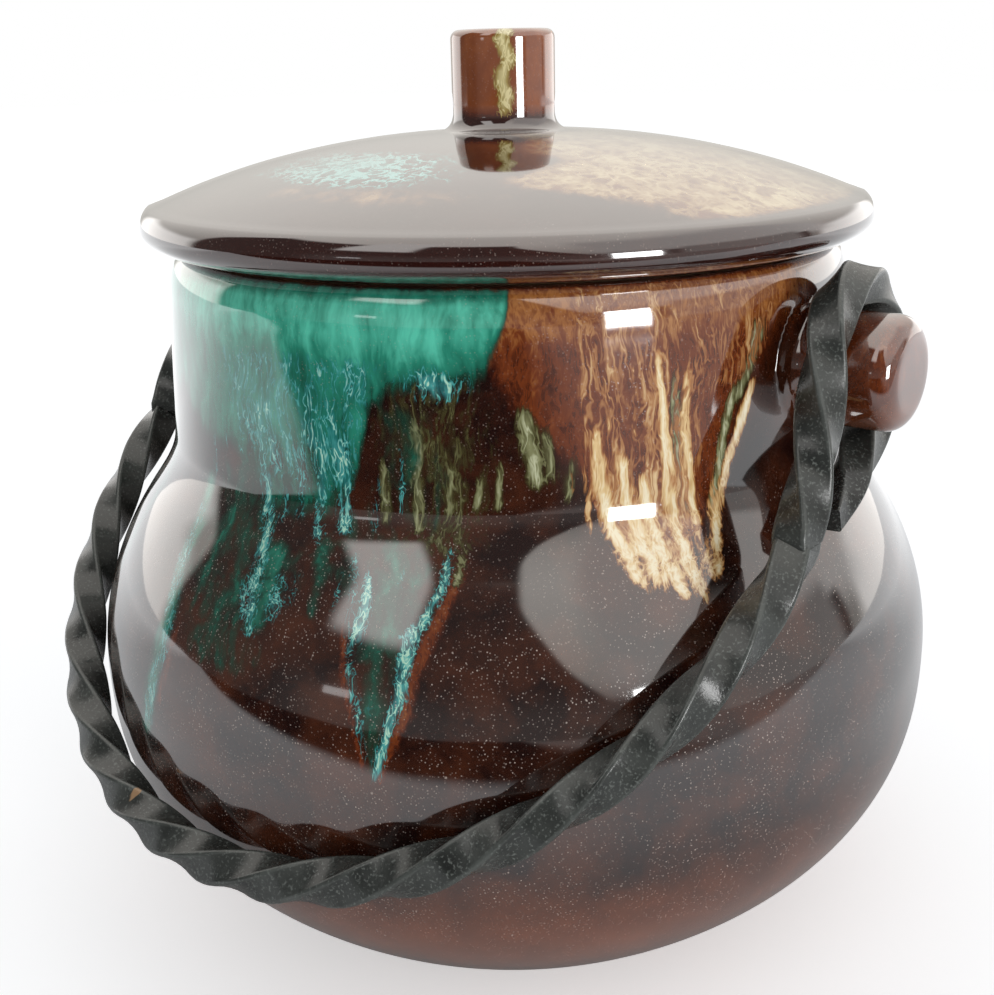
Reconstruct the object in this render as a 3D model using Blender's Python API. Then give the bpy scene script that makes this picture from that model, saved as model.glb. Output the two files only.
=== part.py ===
"""Lidded ceramic pot with a twisted iron bail.

A cast stoneware pot with a low round belly and a straight neck carries a solid
round lug on each side. Its domed lid drops into the mouth on a locating flange
and is lifted by a stub knob. The bail is one twisted square bar, bent to a bow,
whose two hooked ends run round the lugs so that it swings over the lid.

Frame: the origin is on the pot's axis in its flat base, +Z is up, +X runs along
the lugs and the bail hangs forward, on the -Y side. Lengths are in metres.
"""

import math

import bmesh
import bpy
from mathutils import Matrix, Vector

MM = 0.001

# Pot: outside form
base_radius = 56.0 * MM
base_edge_radius = 1.6 * MM
belly_radius = 95.0 * MM
belly_height = 61.2 * MM
waist_radius = 75.8 * MM
waist_height = 106.1 * MM
waist_softness = 5.0 * MM
rim_radius = 73.3 * MM
rim_height = 150.5 * MM
rim_outer_rounding = 3.6 * MM
rim_inner_rounding = 1.2 * MM
lower_belly_power = 2.5
upper_belly_power = 2.07

# Pot: thickness of the casting
wall_thickness = 5.4 * MM
floor_thickness = 7.0 * MM
floor_corner_height = 1.6 * MM

# Lugs
lug_radius = 11.1 * MM
lug_reach = 94.3 * MM
lug_height = 130.1 * MM
lug_end_rounding = 4.2 * MM
lug_root_flare = 1.6 * MM

# Lid
lid_radius = 78.9 * MM
lid_edge_height = 4.6 * MM
lid_shoulder_height = 4.6 * MM
lid_shoulder_width = 3.6 * MM
lid_dome_rise = 13.2 * MM
lid_dome_power = 2.3
lid_thickness = 5.2 * MM
lid_seat_gap = 0.3 * MM
flange_clearance = 1.3 * MM
flange_thickness = 4.2 * MM
flange_depth = 8.0 * MM
flange_root_reach = 4.2 * MM

# Knob
knob_radius = 11.1 * MM
knob_height = 20.2 * MM
knob_edge_rounding = 1.8 * MM
knob_foot_fillet = 3.2 * MM

# Bail
bar_side = 7.2 * MM
bar_corner = 0.8 * MM
twist_turn_length = 85.3 * MM
twist_middle_share = 0.31
twist_middle_reach = 70.0 * MM
twist_middle_angle = math.radians(66.0)
hook_clearance = 0.4 * MM
hook_neck_gap = 1.2 * MM
bail_half_width = 86.8 * MM
bail_shoulder_drop = 39.4 * MM
bail_shank_drop = 49.5 * MM
bail_drop = 131.4 * MM
bail_rest_gap = 0.4 * MM
hook_front_angle = math.radians(25.0)
hook_back_angle = math.radians(15.0)
tail_drop = 28.6 * MM
tail_offset = 8.4 * MM
tail_slope = 0.45
tail_taper_length = 14.0 * MM
tail_tip_share = 0.72

# Facets
turned_segments = 54
lug_segments = 24
lower_belly_rings = 11
lower_ring_power = 1.5
upper_belly_rings = 9
waist_rings = 6
waist_ring_span = 12.5 * MM
dome_rings = 8
lid_inside_rings = 5
bow_steps = 72
shank_steps = 14
hook_steps = 20
tail_steps = 9
bar_step = 3.4 * MM
weld_distance = 0.01 * MM
slope_reach = 0.1 * MM
crease_angle = math.radians(40.0)

GLAZE_BROWN = (0.045, 0.012, 0.008, 1.0)
LID_BROWN = (0.060, 0.018, 0.010, 1.0)
BAR_BLACK = (0.012, 0.012, 0.013, 1.0)


def clear_scene():
    """Remove whatever the file opened with."""
    for item in list(bpy.data.objects):
        bpy.data.objects.remove(item, do_unlink=True)


def principled(name, colour, roughness, coat, metallic):
    """Make a Principled material in one colour."""
    material = bpy.data.materials.new(name)
    material.use_nodes = True
    shader = material.node_tree.nodes["Principled BSDF"]
    shader.inputs["Base Color"].default_value = colour
    shader.inputs["Roughness"].default_value = roughness
    shader.inputs["Coat Weight"].default_value = coat
    shader.inputs["Metallic"].default_value = metallic
    return material


def place(name, data, material):
    """Put a mesh or a curve in the scene under a node name."""
    item = bpy.data.objects.new(name, data)
    bpy.context.scene.collection.objects.link(item)
    if material:
        data.materials.append(material)
    return item


def arc(centre, radius, start, end, steps):
    """Points (across, up) on an arc, with angles in degrees from +across."""
    points = []
    for index in range(steps + 1):
        angle = math.radians(start + (end - start) * index / steps)
        across = centre[0] + radius[0] * math.cos(angle)
        up = centre[1] + radius[1] * math.sin(angle)
        points.append((across, up))
    return points


def turned_mesh(name, outline, segments, axis):
    """Spin an outline of (radius, height) points, from pole to pole, round an axis."""
    shape = bmesh.new()
    corners = []
    for radius, height in outline:
        corners.append(shape.verts.new((radius, 0.0, height)))
    edges = []
    for first, second in zip(corners, corners[1:]):
        edges.append(shape.edges.new((first, second)))
    bmesh.ops.spin(
        shape,
        geom=corners + edges,
        cent=(0.0, 0.0, 0.0),
        axis=(0.0, 0.0, 1.0),
        angle=math.tau,
        steps=segments,
        use_merge=True,
    )
    bmesh.ops.remove_doubles(shape, verts=shape.verts, dist=weld_distance)
    bmesh.ops.recalc_face_normals(shape, faces=shape.faces)
    turn = Vector((0.0, 0.0, 1.0)).rotation_difference(Vector(axis)).to_matrix().to_4x4()
    bmesh.ops.transform(shape, matrix=turn, verts=shape.verts)
    mesh = bpy.data.meshes.new(name)
    shape.to_mesh(mesh)
    shape.free()
    mesh.shade_smooth()
    mesh.set_sharp_from_angle(angle=crease_angle)
    return mesh


def soft_max(first, second, softness):
    """The larger of two lengths, with a fillet where they are nearly equal."""
    closeness = max(softness - abs(first - second), 0.0) / softness
    return max(first, second) + closeness * closeness * softness / 4.0


def neck_radius(height):
    """Outside radius of the straight, slightly tapered neck."""
    share = (height - waist_height) / (rim_height - waist_height)
    return waist_radius + (rim_radius - waist_radius) * share


def outer_radius(height):
    """Outside radius of the pot at a height."""
    if height <= belly_height:
        share = 1.0 - (1.0 - height / belly_height) ** lower_belly_power
        return base_radius + (belly_radius - base_radius) * share
    share = (height - belly_height) / (waist_height - belly_height)
    belly = belly_radius - (belly_radius - waist_radius) * share ** upper_belly_power
    return soft_max(belly, neck_radius(height), waist_softness)


def outer_slope(height):
    """Change of the outside radius per length of height."""
    above = outer_radius(height + slope_reach)
    below = outer_radius(height - slope_reach)
    return (above - below) / (2.0 * slope_reach)


def outer_heights():
    """Heights of the outside outline, closer together where it turns faster."""
    heights = []
    for index in range(1, lower_belly_rings + 1):
        share = index / lower_belly_rings
        heights.append(belly_height * share ** lower_ring_power)
    fillet_start = waist_height - waist_softness
    for index in range(1, upper_belly_rings + 1):
        heights.append(belly_height + (fillet_start - belly_height) * index / upper_belly_rings)
    for index in range(1, waist_rings + 1):
        heights.append(fillet_start + waist_ring_span * index / waist_rings)
    heights.append(rim_height - rim_outer_rounding)
    return heights


def inside_point(height):
    """The point of the inside that faces the outside point at a height."""
    slope = outer_slope(height)
    length = math.hypot(1.0, slope)
    return (
        outer_radius(height) - wall_thickness / length,
        height + wall_thickness * slope / length,
    )


def mouth_radius():
    """Inside radius of the neck just under the rim."""
    return inside_point(rim_height - rim_outer_rounding)[0]


def pot_outline():
    """Pot outline from the middle of the base, up the outside and down the inside."""
    outline = [(0.0, 0.0)]
    edge = base_edge_radius
    slope = lower_belly_power * (belly_radius - base_radius) / belly_height
    turn = math.atan2(1.0, slope)
    centre = (base_radius - edge * math.tan(turn / 2.0), edge)
    outline += arc(centre, (edge, edge), -90.0, math.degrees(turn) - 90.0, 3)
    for height in outer_heights():
        outline.append((outer_radius(height), height))
    shoulder = rim_outer_rounding
    centre = (neck_radius(rim_height) - shoulder, rim_height - shoulder)
    outline += arc(centre, (shoulder, shoulder), 15.0, 90.0, 4)
    lip = rim_inner_rounding
    outline += arc((mouth_radius() + lip, rim_height - lip), (lip, lip), 90.0, 180.0, 3)
    for height in reversed(outer_heights()[:-1:2]):
        point = inside_point(height)
        if point[1] > floor_thickness + floor_corner_height:
            outline.append(point)
    outline.append((inner_floor_radius(), floor_thickness))
    outline.append((0.0, floor_thickness))
    return outline


def inner_floor_radius():
    """Radius at which the inside of the wall meets the floor."""
    low = 0.0
    high = belly_height
    for _ in range(30):
        middle = (low + high) / 2.0
        if inside_point(middle)[1] < floor_thickness:
            low = middle
        else:
            high = middle
    return inside_point(high)[0]


def lug_outline():
    """Lug outline along its axis, from its end face to its root in the neck wall."""
    rounding = lug_end_rounding
    neck = neck_radius(lug_height)
    outline = [(0.0, lug_reach)]
    outline += arc((lug_radius - rounding, lug_reach - rounding), (rounding, rounding), 90.0, 0.0, 5)
    flare = lug_root_flare
    outline += arc((lug_radius + flare, neck + flare), (flare, flare), 180.0, 270.0, 3)
    root = neck - wall_thickness / 2.0
    outline.append((lug_radius + flare, root))
    outline.append((0.0, root))
    return outline


def make_pot():
    """The pot: one hollow casting with both lugs luted on."""
    glaze = principled("pot glaze", GLAZE_BROWN, 0.12, 1.0, 0.0)
    pot = place("pot", turned_mesh("pot", pot_outline(), turned_segments, (0.0, 0.0, 1.0)), glaze)
    for side, word in ((1.0, "right"), (-1.0, "left")):
        mesh = turned_mesh(word + " lug", lug_outline(), lug_segments, (side, 0.0, 0.0))
        lug = place("cutter_" + word + "_lug", mesh, glaze)
        lug.location = (0.0, 0.0, lug_height)
        lug.hide_render = True
        lug.display_type = "WIRE"
        union = pot.modifiers.new(word + " lug", "BOOLEAN")
        union.operation = "UNION"
        union.solver = "EXACT"
        union.object = lug
    return pot


def dome_height(radius):
    """Height of the lid's dome at a radius, above its seat."""
    edge = lid_radius - lid_shoulder_width
    share = min(radius / edge, 1.0) ** lid_dome_power
    return lid_edge_height + lid_shoulder_height + lid_dome_rise * (1.0 - share)


def lid_outline():
    """Lid outline from the knob's top, down the outside and back under the lid."""
    outline = []
    top = dome_height(0.0) + knob_height
    rounding = knob_edge_rounding
    outline.append((0.0, top))
    outline += arc((knob_radius - rounding, top - rounding), (rounding, rounding), 90.0, 0.0, 4)
    fillet = knob_foot_fillet
    foot = dome_height(knob_radius + fillet)
    outline += arc((knob_radius + fillet, foot + fillet), (fillet, fillet), 180.0, 262.0, 5)
    dome_edge = lid_radius - lid_shoulder_width
    dome_start = knob_radius + fillet
    for index in range(1, dome_rings + 1):
        radius = dome_start + (dome_edge - dome_start) * index / dome_rings
        outline.append((radius, dome_height(radius)))
    shoulder = (lid_shoulder_width, lid_shoulder_height)
    outline += arc((dome_edge, lid_edge_height), shoulder, 66.0, 0.0, 4)
    seat_edge = rim_radius - rim_outer_rounding
    under = (lid_radius - seat_edge, lid_edge_height)
    outline += arc((seat_edge, lid_edge_height), under, -15.0, -90.0, 6)
    flange = mouth_radius() - flange_clearance
    bottom = flange_thickness / 2.0
    outline.append((flange, 0.0))
    outline.append((flange, bottom - flange_depth))
    middle = (flange - bottom, bottom - flange_depth)
    outline += arc(middle, (bottom, bottom), -45.0, -180.0, 3)
    inner = flange - flange_thickness
    outline.append((inner, 0.0))
    for index in range(lid_inside_rings + 1):
        radius = (inner - flange_root_reach) * (1.0 - index / lid_inside_rings)
        outline.append((radius, dome_height(radius) - lid_thickness))
    return outline


def make_lid():
    """The lid: dome, bullnose rim, locating flange and knob in one casting."""
    glaze = principled("lid glaze", LID_BROWN, 0.12, 1.0, 0.0)
    lid = place("lid", turned_mesh("lid", lid_outline(), turned_segments, (0.0, 0.0, 1.0)), glaze)
    lid.location = (0.0, 0.0, rim_height + lid_seat_gap)
    return lid


def section_radius():
    """Distance from the bar's middle to its furthest corner."""
    half = bar_side / 2.0
    return math.hypot(half, half - bar_corner)


def hook_radius():
    """Radius of the bar's centre line round a lug."""
    return lug_radius + hook_clearance + section_radius()


def smooth_step(share):
    """Ease from 0 to 1."""
    share = min(max(share, 0.0), 1.0)
    return share * share * (3.0 - 2.0 * share)


def bail_spread(drop):
    """Distance of a leg from the middle plane, by its drop below the lugs' axis."""
    nearest = waist_radius + hook_neck_gap + section_radius()
    share = (drop + hook_radius()) / (bail_shoulder_drop + hook_radius())
    return nearest + (bail_half_width - nearest) * smooth_step(share)


def hermite(start, end, start_slope, end_slope, length, share):
    """Cubic between two values with given slopes over a length."""
    square = share * share
    cube = square * share
    value = (2.0 * cube - 3.0 * square + 1.0) * start
    value += (3.0 * square - 2.0 * cube) * end
    value += (cube - 2.0 * square + share) * length * start_slope
    value += (cube - square) * length * end_slope
    return value


def half_bail_route():
    """Right half of the centre line as (across, drop, forward), from bow to tail end."""
    route = []
    for index in range(bow_steps):
        angle = math.pi / 2.0 * (1.0 - index / bow_steps)
        depth = (bail_drop - bail_shoulder_drop) * math.sin(angle)
        across = bail_half_width * math.cos(angle)
        route.append((across, bail_shoulder_drop + depth, 0.0))
    radius = hook_radius()
    join_drop = radius * math.sin(hook_front_angle)
    join_forward = radius * math.cos(hook_front_angle)
    join_slope = -math.tan(hook_front_angle)
    length = bail_shank_drop - join_drop
    for index in range(shank_steps):
        share = 1.0 - index / shank_steps
        drop = join_drop + length * share
        if drop < bail_shoulder_drop:
            forward = hermite(join_forward, 0.0, join_slope, 0.0, length, share)
            route.append((bail_spread(drop), drop, forward))
    turn = math.pi + hook_front_angle + hook_back_angle
    for index in range(hook_steps + 1):
        angle = hook_front_angle - turn * index / hook_steps
        drop = radius * math.sin(angle)
        route.append((bail_spread(drop), drop, radius * math.cos(angle)))
    start_drop = radius * math.sin(hook_back_angle)
    start_forward = -radius * math.cos(hook_back_angle)
    for index in range(1, tail_steps + 1):
        share = index / tail_steps
        drop = start_drop + (tail_drop - start_drop) * share
        forward = hermite(
            start_forward,
            -tail_offset,
            math.tan(hook_back_angle),
            tail_slope,
            tail_drop - start_drop,
            share,
        )
        route.append((bail_spread(drop), drop, forward))
    return route


def even_route(route, step):
    """The same line with its points about one step apart."""
    lengths = [0.0]
    for first, second in zip(route, route[1:]):
        lengths.append(lengths[-1] + (second - first).length)
    count = round(lengths[-1] / step)
    points = []
    index = 0
    for number in range(count + 1):
        target = lengths[-1] * number / count
        while index < len(lengths) - 2 and lengths[index + 1] < target:
            index += 1
        share = (target - lengths[index]) / (lengths[index + 1] - lengths[index])
        points.append(route[index].lerp(route[index + 1], share))
    return points, lengths[-1]


def bow_gap(lean):
    """Least distance between the leaning bar and the outside of the pot."""
    gap = bail_drop
    for across, drop, forward in half_bail_route():
        height = lug_height + forward * math.sin(lean) - drop * math.cos(lean)
        depth = forward * math.cos(lean) + drop * math.sin(lean)
        slope = outer_slope(height)
        distance = math.hypot(across, depth) - outer_radius(height)
        gap = min(gap, distance / math.hypot(1.0, slope) - section_radius())
    return gap


def rest_lean():
    """Angle from the vertical at which the hanging bow rests against the belly."""
    low = 0.0
    high = math.pi / 2.0
    for _ in range(24):
        middle = (low + high) / 2.0
        if bow_gap(middle) < bail_rest_gap:
            low = middle
        else:
            high = middle
    return high


def bail_points():
    """The whole centre line about the lugs' axis, leaning forward as it hangs."""
    lean = Matrix.Rotation(-rest_lean(), 3, "X")
    half = half_bail_route()
    whole = []
    for across, drop, forward in reversed(half[1:]):
        whole.append(lean @ Vector((-across, -forward, -drop)))
    for across, drop, forward in half:
        whole.append(lean @ Vector((across, -forward, -drop)))
    return even_route(whole, bar_step)


def bar_section():
    """The bar's section: a square with eased corners, as a closed guide curve."""
    half = bar_side / 2.0
    inset = half - bar_corner
    quarter = [(half, inset), (half, -inset)]
    data = bpy.data.curves.new("bar section", "CURVE")
    data.dimensions = "2D"
    line = data.splines.new("POLY")
    line.points.add(4 * len(quarter) - 1)
    index = 0
    for turn in range(4):
        spin = Matrix.Rotation(-turn * math.pi / 2.0, 2)
        for corner in quarter:
            point = spin @ Vector(corner)
            line.points[index].co = (point.x, point.y, 0.0, 1.0)
            index += 1
    line.use_cyclic_u = True
    section = place("guide_bar_section", data, None)
    section.hide_render = True
    section.display_type = "WIRE"
    return section


def twist_angle(along, length):
    """Turn of the section at a distance along the bar, which is twisted tighter midway."""
    offset = along - length / 2.0
    extra = twist_middle_share * twist_middle_reach * math.atan(offset / twist_middle_reach)
    return twist_middle_angle - math.tau * (offset + extra) / twist_turn_length


def make_bail():
    """The bail: one square bar, twisted along its length and hooked at both ends."""
    paint = principled("bail black paint", BAR_BLACK, 0.42, 0.0, 0.0)
    points, length = bail_points()
    data = bpy.data.curves.new("bail", "CURVE")
    data.dimensions = "3D"
    data.twist_mode = "MINIMUM"
    data.bevel_mode = "OBJECT"
    data.bevel_object = bar_section()
    data.use_fill_caps = True
    line = data.splines.new("POLY")
    line.points.add(len(points) - 1)
    for index, point in enumerate(points):
        along = length * index / (len(points) - 1)
        from_end = min(along, length - along)
        taper = smooth_step(from_end / tail_taper_length)
        line.points[index].co = (point.x, point.y, point.z, 1.0)
        line.points[index].radius = tail_tip_share + (1.0 - tail_tip_share) * taper
        line.points[index].tilt = twist_angle(along, length)
    bail = place("bail", data, paint)
    bail.location = (0.0, 0.0, lug_height)
    return bail


def main():
    """Build the pot, its lid and its bail."""
    clear_scene()
    make_pot()
    make_lid()
    make_bail()


main()
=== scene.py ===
"""Looks of a lidded ceramic pot with a twisted iron bail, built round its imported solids.

Each solid is replaced by a finer piece of the same form: the pot with its two lugs, the lid
with its knob, and the bail. The glaze is laid in layers: a dark oxblood ground, rust, cream
and turquoise runs, then dust. Lengths are in metres, in the frame of the solids.
"""

from __future__ import annotations

import logging
import math
from dataclasses import dataclass
from enum import Enum

import bmesh
import bpy
import numpy as np
from mathutils import Matrix, Vector

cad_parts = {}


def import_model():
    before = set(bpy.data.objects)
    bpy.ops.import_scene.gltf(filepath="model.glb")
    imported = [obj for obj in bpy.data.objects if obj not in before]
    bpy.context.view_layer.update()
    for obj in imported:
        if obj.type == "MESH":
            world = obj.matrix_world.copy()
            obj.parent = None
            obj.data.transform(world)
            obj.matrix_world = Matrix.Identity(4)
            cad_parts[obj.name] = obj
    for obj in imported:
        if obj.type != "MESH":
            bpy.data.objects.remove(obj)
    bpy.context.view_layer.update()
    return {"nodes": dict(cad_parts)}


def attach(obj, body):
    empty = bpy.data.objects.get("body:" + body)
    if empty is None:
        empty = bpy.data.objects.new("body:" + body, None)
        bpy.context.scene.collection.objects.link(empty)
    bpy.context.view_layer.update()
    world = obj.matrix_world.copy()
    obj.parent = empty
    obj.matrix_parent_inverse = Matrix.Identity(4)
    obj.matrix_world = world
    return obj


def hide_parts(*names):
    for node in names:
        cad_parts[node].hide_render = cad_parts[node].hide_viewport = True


MM = 0.001
VIEW_SIDE = math.radians(37.4)
SOLID_FACETS = 54  # flat sides of the turned solids, which the pieces stay inside
FULL_DEPTH = 1.15  # cover and noise at which a layer of glaze reaches its last colour
VEIN_FINENESS = 1.7  # how much finer a layer's bright veins are than its streaks
VEIN_COVER = (0.05, 0.45)  # the veins fade in between these covers of their layer
MERGE_GAP = 0.004 * MM  # points of a turned body that lie closer than this are one
BACK_ANGLE = 90.0  # degrees from the side in view to where the pot's back starts
UP = Vector((0.0, 0.0, 1.0))

log = logging.getLogger("pot_with_bail")

Point = tuple[float, float]
Place = tuple[float, float, float]
Piece = bpy.types.Object
Tree = bpy.types.NodeTree
Node = bpy.types.Node
Socket = bpy.types.NodeSocket


class Stroke(Enum):
    """How a glaze layer breaks up: in soft clouds, or in bright flames as well."""

    CLOUD = "cloud"
    FLAME = "flame"


@dataclass(frozen=True)
class GlazeLayer:
    """One layer of a fired glaze, laid where a vertex attribute says.

    The colours go from its thin edge to its thick middle. The grain is the width of a
    streak, the stretch how many times longer it is, and ragged how far it breaks the edge.
    The layer shows from low and covers at high. The flames are thin bright veins.
    """

    attribute: str
    colours: tuple[str, ...]
    grain: float
    stretch: float
    ragged: float
    low: float
    high: float
    stroke: Stroke = Stroke.CLOUD
    flame: float = 0.0
    flame_width: float = 0.06
    seed: float = 0.0


@dataclass(frozen=True)
class GlazeFinish:
    """A lead glaze on stoneware, poured and run in the kiln.

    To the eye it is glassy: sharp reflections over deep, streaked colour. A span is where a
    fade starts and ends. The bends are the widths of the swirls in the flow and how far each
    moves it. The specks of dust are rows of spacing, radius, share and strength. Real dust
    is finer: it is drawn this coarse to show.
    """

    name: str
    ground_dark: str
    ground_light: str
    ground_grain: float
    layers: tuple[GlazeLayer, ...]
    ground_span: Point = (0.42, 1.56)
    warmth: float = 0.8
    roughness: float = 0.07
    bare_roughness: float = 0.75
    index: float = 1.9
    coat_index: float = 1.5
    coat_roughness: float = 0.03
    ripple: float = 16.0 * MM
    ripple_depth: float = 0.35 * MM
    ripple_strength: float = 0.35
    dust: str = "c9b8ac"
    dust_span: Point = (95.0 * MM, 116.0 * MM)
    dust_above: float = 0.35
    drift: float = 9.0 * MM
    drift_span: Point = (0.38, 0.64)
    drift_least: float = 0.25
    clay: str = "b79a78"
    bends: tuple[Point, ...] = ((15.0 * MM, 5.0 * MM), (3.6 * MM, 1.6 * MM))
    specks: tuple[tuple[float, float, float, float], ...] = (
        (0.62 * MM, 0.17 * MM, 1.0, 0.8),
        (1.4 * MM, 0.21 * MM, 0.6, 0.85),
        (6.0 * MM, 0.32 * MM, 0.5, 0.9),
    )


@dataclass(frozen=True)
class PaintFinish:
    """Black enamel brushed on forged iron.

    To the eye it is satin and dusty, with a painted highlight along its ridges. The grit in it is drawn
    coarser than it is, or it would not show.
    """

    name: str = "black satin enamel on forged iron"
    black: str = "151615"
    grey: str = "30322f"
    ridge_highlight: str = "565a56"
    dust: str = "8f948e"
    cream_chip: str = "cfc8ae"
    tan_chip: str = "9a7a5a"
    cloud: float = 6.0 * MM
    grit: float = 0.55 * MM
    grit_depth: float = 0.12 * MM
    dent_depth: float = 0.2 * MM
    chip_edge: Point = (0.72, 0.8)
    roughness: Point = (0.2, 0.32)


@dataclass(frozen=True)
class Strand:
    """One strand of running glaze: points of angle, height and half width, from its top."""

    path: tuple[Place, ...]
    strength: float


def linear(code: str) -> tuple[float, float, float, float]:
    """Turn an sRGB hex colour into the linear one that the nodes take.

    Args:
        code: Six hex digits.

    Returns:
        Red, green, blue and an alpha of one.
    """
    channels = []
    for start in (0, 2, 4):
        value = int(code[start : start + 2], 16) / 255.0
        if value <= 0.04045:
            channels.append(value / 12.92)
        else:
            channels.append(((value + 0.055) / 1.055) ** 2.4)
    return (channels[0], channels[1], channels[2], 1.0)


def fill(tree: Tree, node: Node, inputs: dict) -> None:
    """Put values and links into a node's inputs.

    Args:
        tree: The node tree.
        node: The node.
        inputs: Input names or numbers, with the values, sockets or nodes that go into them.
            A node gives its first output.
    """
    for name, value in inputs.items():
        source = value.outputs[0] if isinstance(value, Node) else value
        if isinstance(source, Socket):
            tree.links.new(source, node.inputs[name])
        else:
            node.inputs[name].default_value = source


def add_node(tree: Tree, kind: str, inputs: dict | None = None, **settings: object) -> Node:
    """Add a node with its settings and links.

    Args:
        tree: The node tree.
        kind: The node's type, without the words that all of them start with.
        inputs: What goes into its inputs, as in fill.
        **settings: The node's own properties.

    Returns:
        The new node.
    """
    node = tree.nodes.new("ShaderNode" + kind)
    for name, value in settings.items():
        setattr(node, name, value)
    fill(tree, node, inputs or {})
    return node


def new_material(name: str) -> tuple[bpy.types.Material, Tree, Node]:
    """Make a material, and give it with its node tree and its shader."""
    material = bpy.data.materials.new(name)
    material.use_nodes = True
    tree = material.node_tree
    return material, tree, tree.nodes["Principled BSDF"]


def smooth_step(share: np.ndarray | float) -> np.ndarray:
    """Ease from 0 to 1."""
    share = np.clip(share, 0.0, 1.0)
    return share * share * (3.0 - 2.0 * share)


def climb(values: np.ndarray, start: np.ndarray | float, width: float) -> np.ndarray:
    """Ease from 0 at the start to 1 a width further on, or further back if it is negative."""
    return smooth_step((values - start) / width)


def bell(values: np.ndarray, middle: np.ndarray | float, width: np.ndarray | float) -> np.ndarray:
    """Peak at 1 in the middle and fade out over a width to both sides."""
    return np.exp(-(((values - middle) / width) ** 2))


def arc(centre: Point, radii: Point, start: float, end: float, steps: int) -> list[Point]:
    """Make points on an arc.

    Args:
        centre: Its middle, across and up.
        radii: Its radii, across and up.
        start: First angle in degrees from across.
        end: Last angle in degrees.
        steps: Number of pieces.

    Returns:
        The points.
    """
    angles = np.radians(np.linspace(start, end, steps + 1))
    across = centre[0] + radii[0] * np.cos(angles)
    up = centre[1] + radii[1] * np.sin(angles)
    return [(float(a), float(u)) for a, u in zip(across, up)]


def dense(outline: list[Point], spacing: float) -> list[Point]:
    """Divide the long straight stretches of an outline.

    Args:
        outline: Points from pole to pole.
        spacing: The longest stretch to leave.

    Returns:
        The outline with more points.
    """
    points = [outline[0]]
    for first, second in zip(outline, outline[1:]):
        gap = math.dist(first, second)
        count = max(1, math.ceil(gap / spacing))
        for index in range(1, count + 1):
            share = index / count
            across = first[0] + (second[0] - first[0]) * share
            points.append((across, first[1] + (second[1] - first[1]) * share))
    return points


def turn_outline(outline: list[Point], segments: int, axis: Vector) -> bmesh.types.BMesh:
    """Spin an outline of radius and height, from pole to pole, round an axis.

    Args:
        outline: Points from pole to pole.
        segments: Number of faces round.
        axis: Direction of the axis, through the origin.

    Returns:
        The turned body, facing outwards.
    """
    shape = bmesh.new()
    corners = [shape.verts.new((radius, 0.0, height)) for radius, height in outline]
    edges = [shape.edges.new(pair) for pair in zip(corners, corners[1:])]
    bmesh.ops.spin(
        shape,
        geom=corners + edges,
        cent=(0.0, 0.0, 0.0),
        axis=(0.0, 0.0, 1.0),
        angle=math.tau,
        steps=segments,
        use_merge=True,
    )
    bmesh.ops.remove_doubles(shape, verts=shape.verts, dist=MERGE_GAP)
    bmesh.ops.recalc_face_normals(shape, faces=shape.faces)
    turn = UP.rotation_difference(axis).to_matrix().to_4x4()
    bmesh.ops.transform(shape, matrix=turn, verts=shape.verts)
    return shape


def add_object(name: str, data: bpy.types.ID) -> Piece:
    """Make an object of its data and link it into the scene."""
    made = bpy.data.objects.new(name, data)
    bpy.context.scene.collection.objects.link(made)
    return made


def final_mesh(piece: Piece) -> bpy.types.Mesh:
    """Copy the mesh that a piece's modifiers or curves give."""
    bpy.context.view_layer.update()
    graph = bpy.context.evaluated_depsgraph_get()
    return bpy.data.meshes.new_from_object(piece.evaluated_get(graph))


def piece_from(name: str, shape: bmesh.types.BMesh) -> Piece:
    """Make a smooth piece of a finished shape.

    Args:
        name: The piece's name.
        shape: Its shape, which is freed.

    Returns:
        The piece, linked into the scene.
    """
    mesh = bpy.data.meshes.new(name)
    shape.to_mesh(mesh)
    shape.free()
    mesh.shade_smooth()
    return add_object(name, mesh)


def corners_of(piece: Piece) -> np.ndarray:
    """Read a piece's vertices as rows of x, y and z."""
    places = np.zeros(len(piece.data.vertices) * 3)
    piece.data.vertices.foreach_get("co", places)
    return places.reshape(-1, 3)


def paint(piece: Piece, name: str, values: np.ndarray) -> None:
    """Store one number per vertex for the piece's material."""
    layer = piece.data.attributes.new(name, "FLOAT", "POINT")
    layer.data.foreach_set("value", np.clip(values, 0.0, 1.0).astype(np.float32))


def view_angle(places: np.ndarray) -> np.ndarray:
    """Angle of each place round the pot, in degrees to the right of the side in view."""
    front = places[:, 0] * math.sin(VIEW_SIDE) - places[:, 1] * math.cos(VIEW_SIDE)
    right = places[:, 0] * math.cos(VIEW_SIDE) + places[:, 1] * math.sin(VIEW_SIDE)
    return np.degrees(np.arctan2(right, front))


def beyond(values: np.ndarray, angles: np.ndarray, edge: dict[float, float], softness: float) -> np.ndarray:
    """Cover what lies beyond a limit that changes with the angle.

    Args:
        values: The height or radius of each place.
        angles: The angle of each place.
        edge: Limits by angle.
        softness: Width of the blend.

    Returns:
        Cover from 0 to 1.
    """
    return climb(values, np.interp(angles, list(edge), list(edge.values())), softness)


def strands_over(angles: np.ndarray, heights: np.ndarray, strands: tuple[Strand, ...]) -> np.ndarray:
    """Cover the places that the strands flow over, thinning out at both ends.

    Args:
        angles: Angle of each place, in degrees.
        heights: Height of each place, in millimetres.
        strands: The strands.

    Returns:
        Cover from 0 to 1.
    """
    cover = np.zeros(len(angles))
    for strand in strands:
        middles, levels, widths = (np.array(column) for column in zip(*reversed(strand.path)))
        middle = np.interp(heights, levels, middles)
        width = np.interp(heights, levels, widths)
        reach = climb(heights, levels[-1] + 2.0, -5.0) * climb(heights, levels[0] - 1.5, 3.0)
        cover = np.maximum(cover, strand.strength * bell(angles, middle, width) * reach)
    return cover


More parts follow.
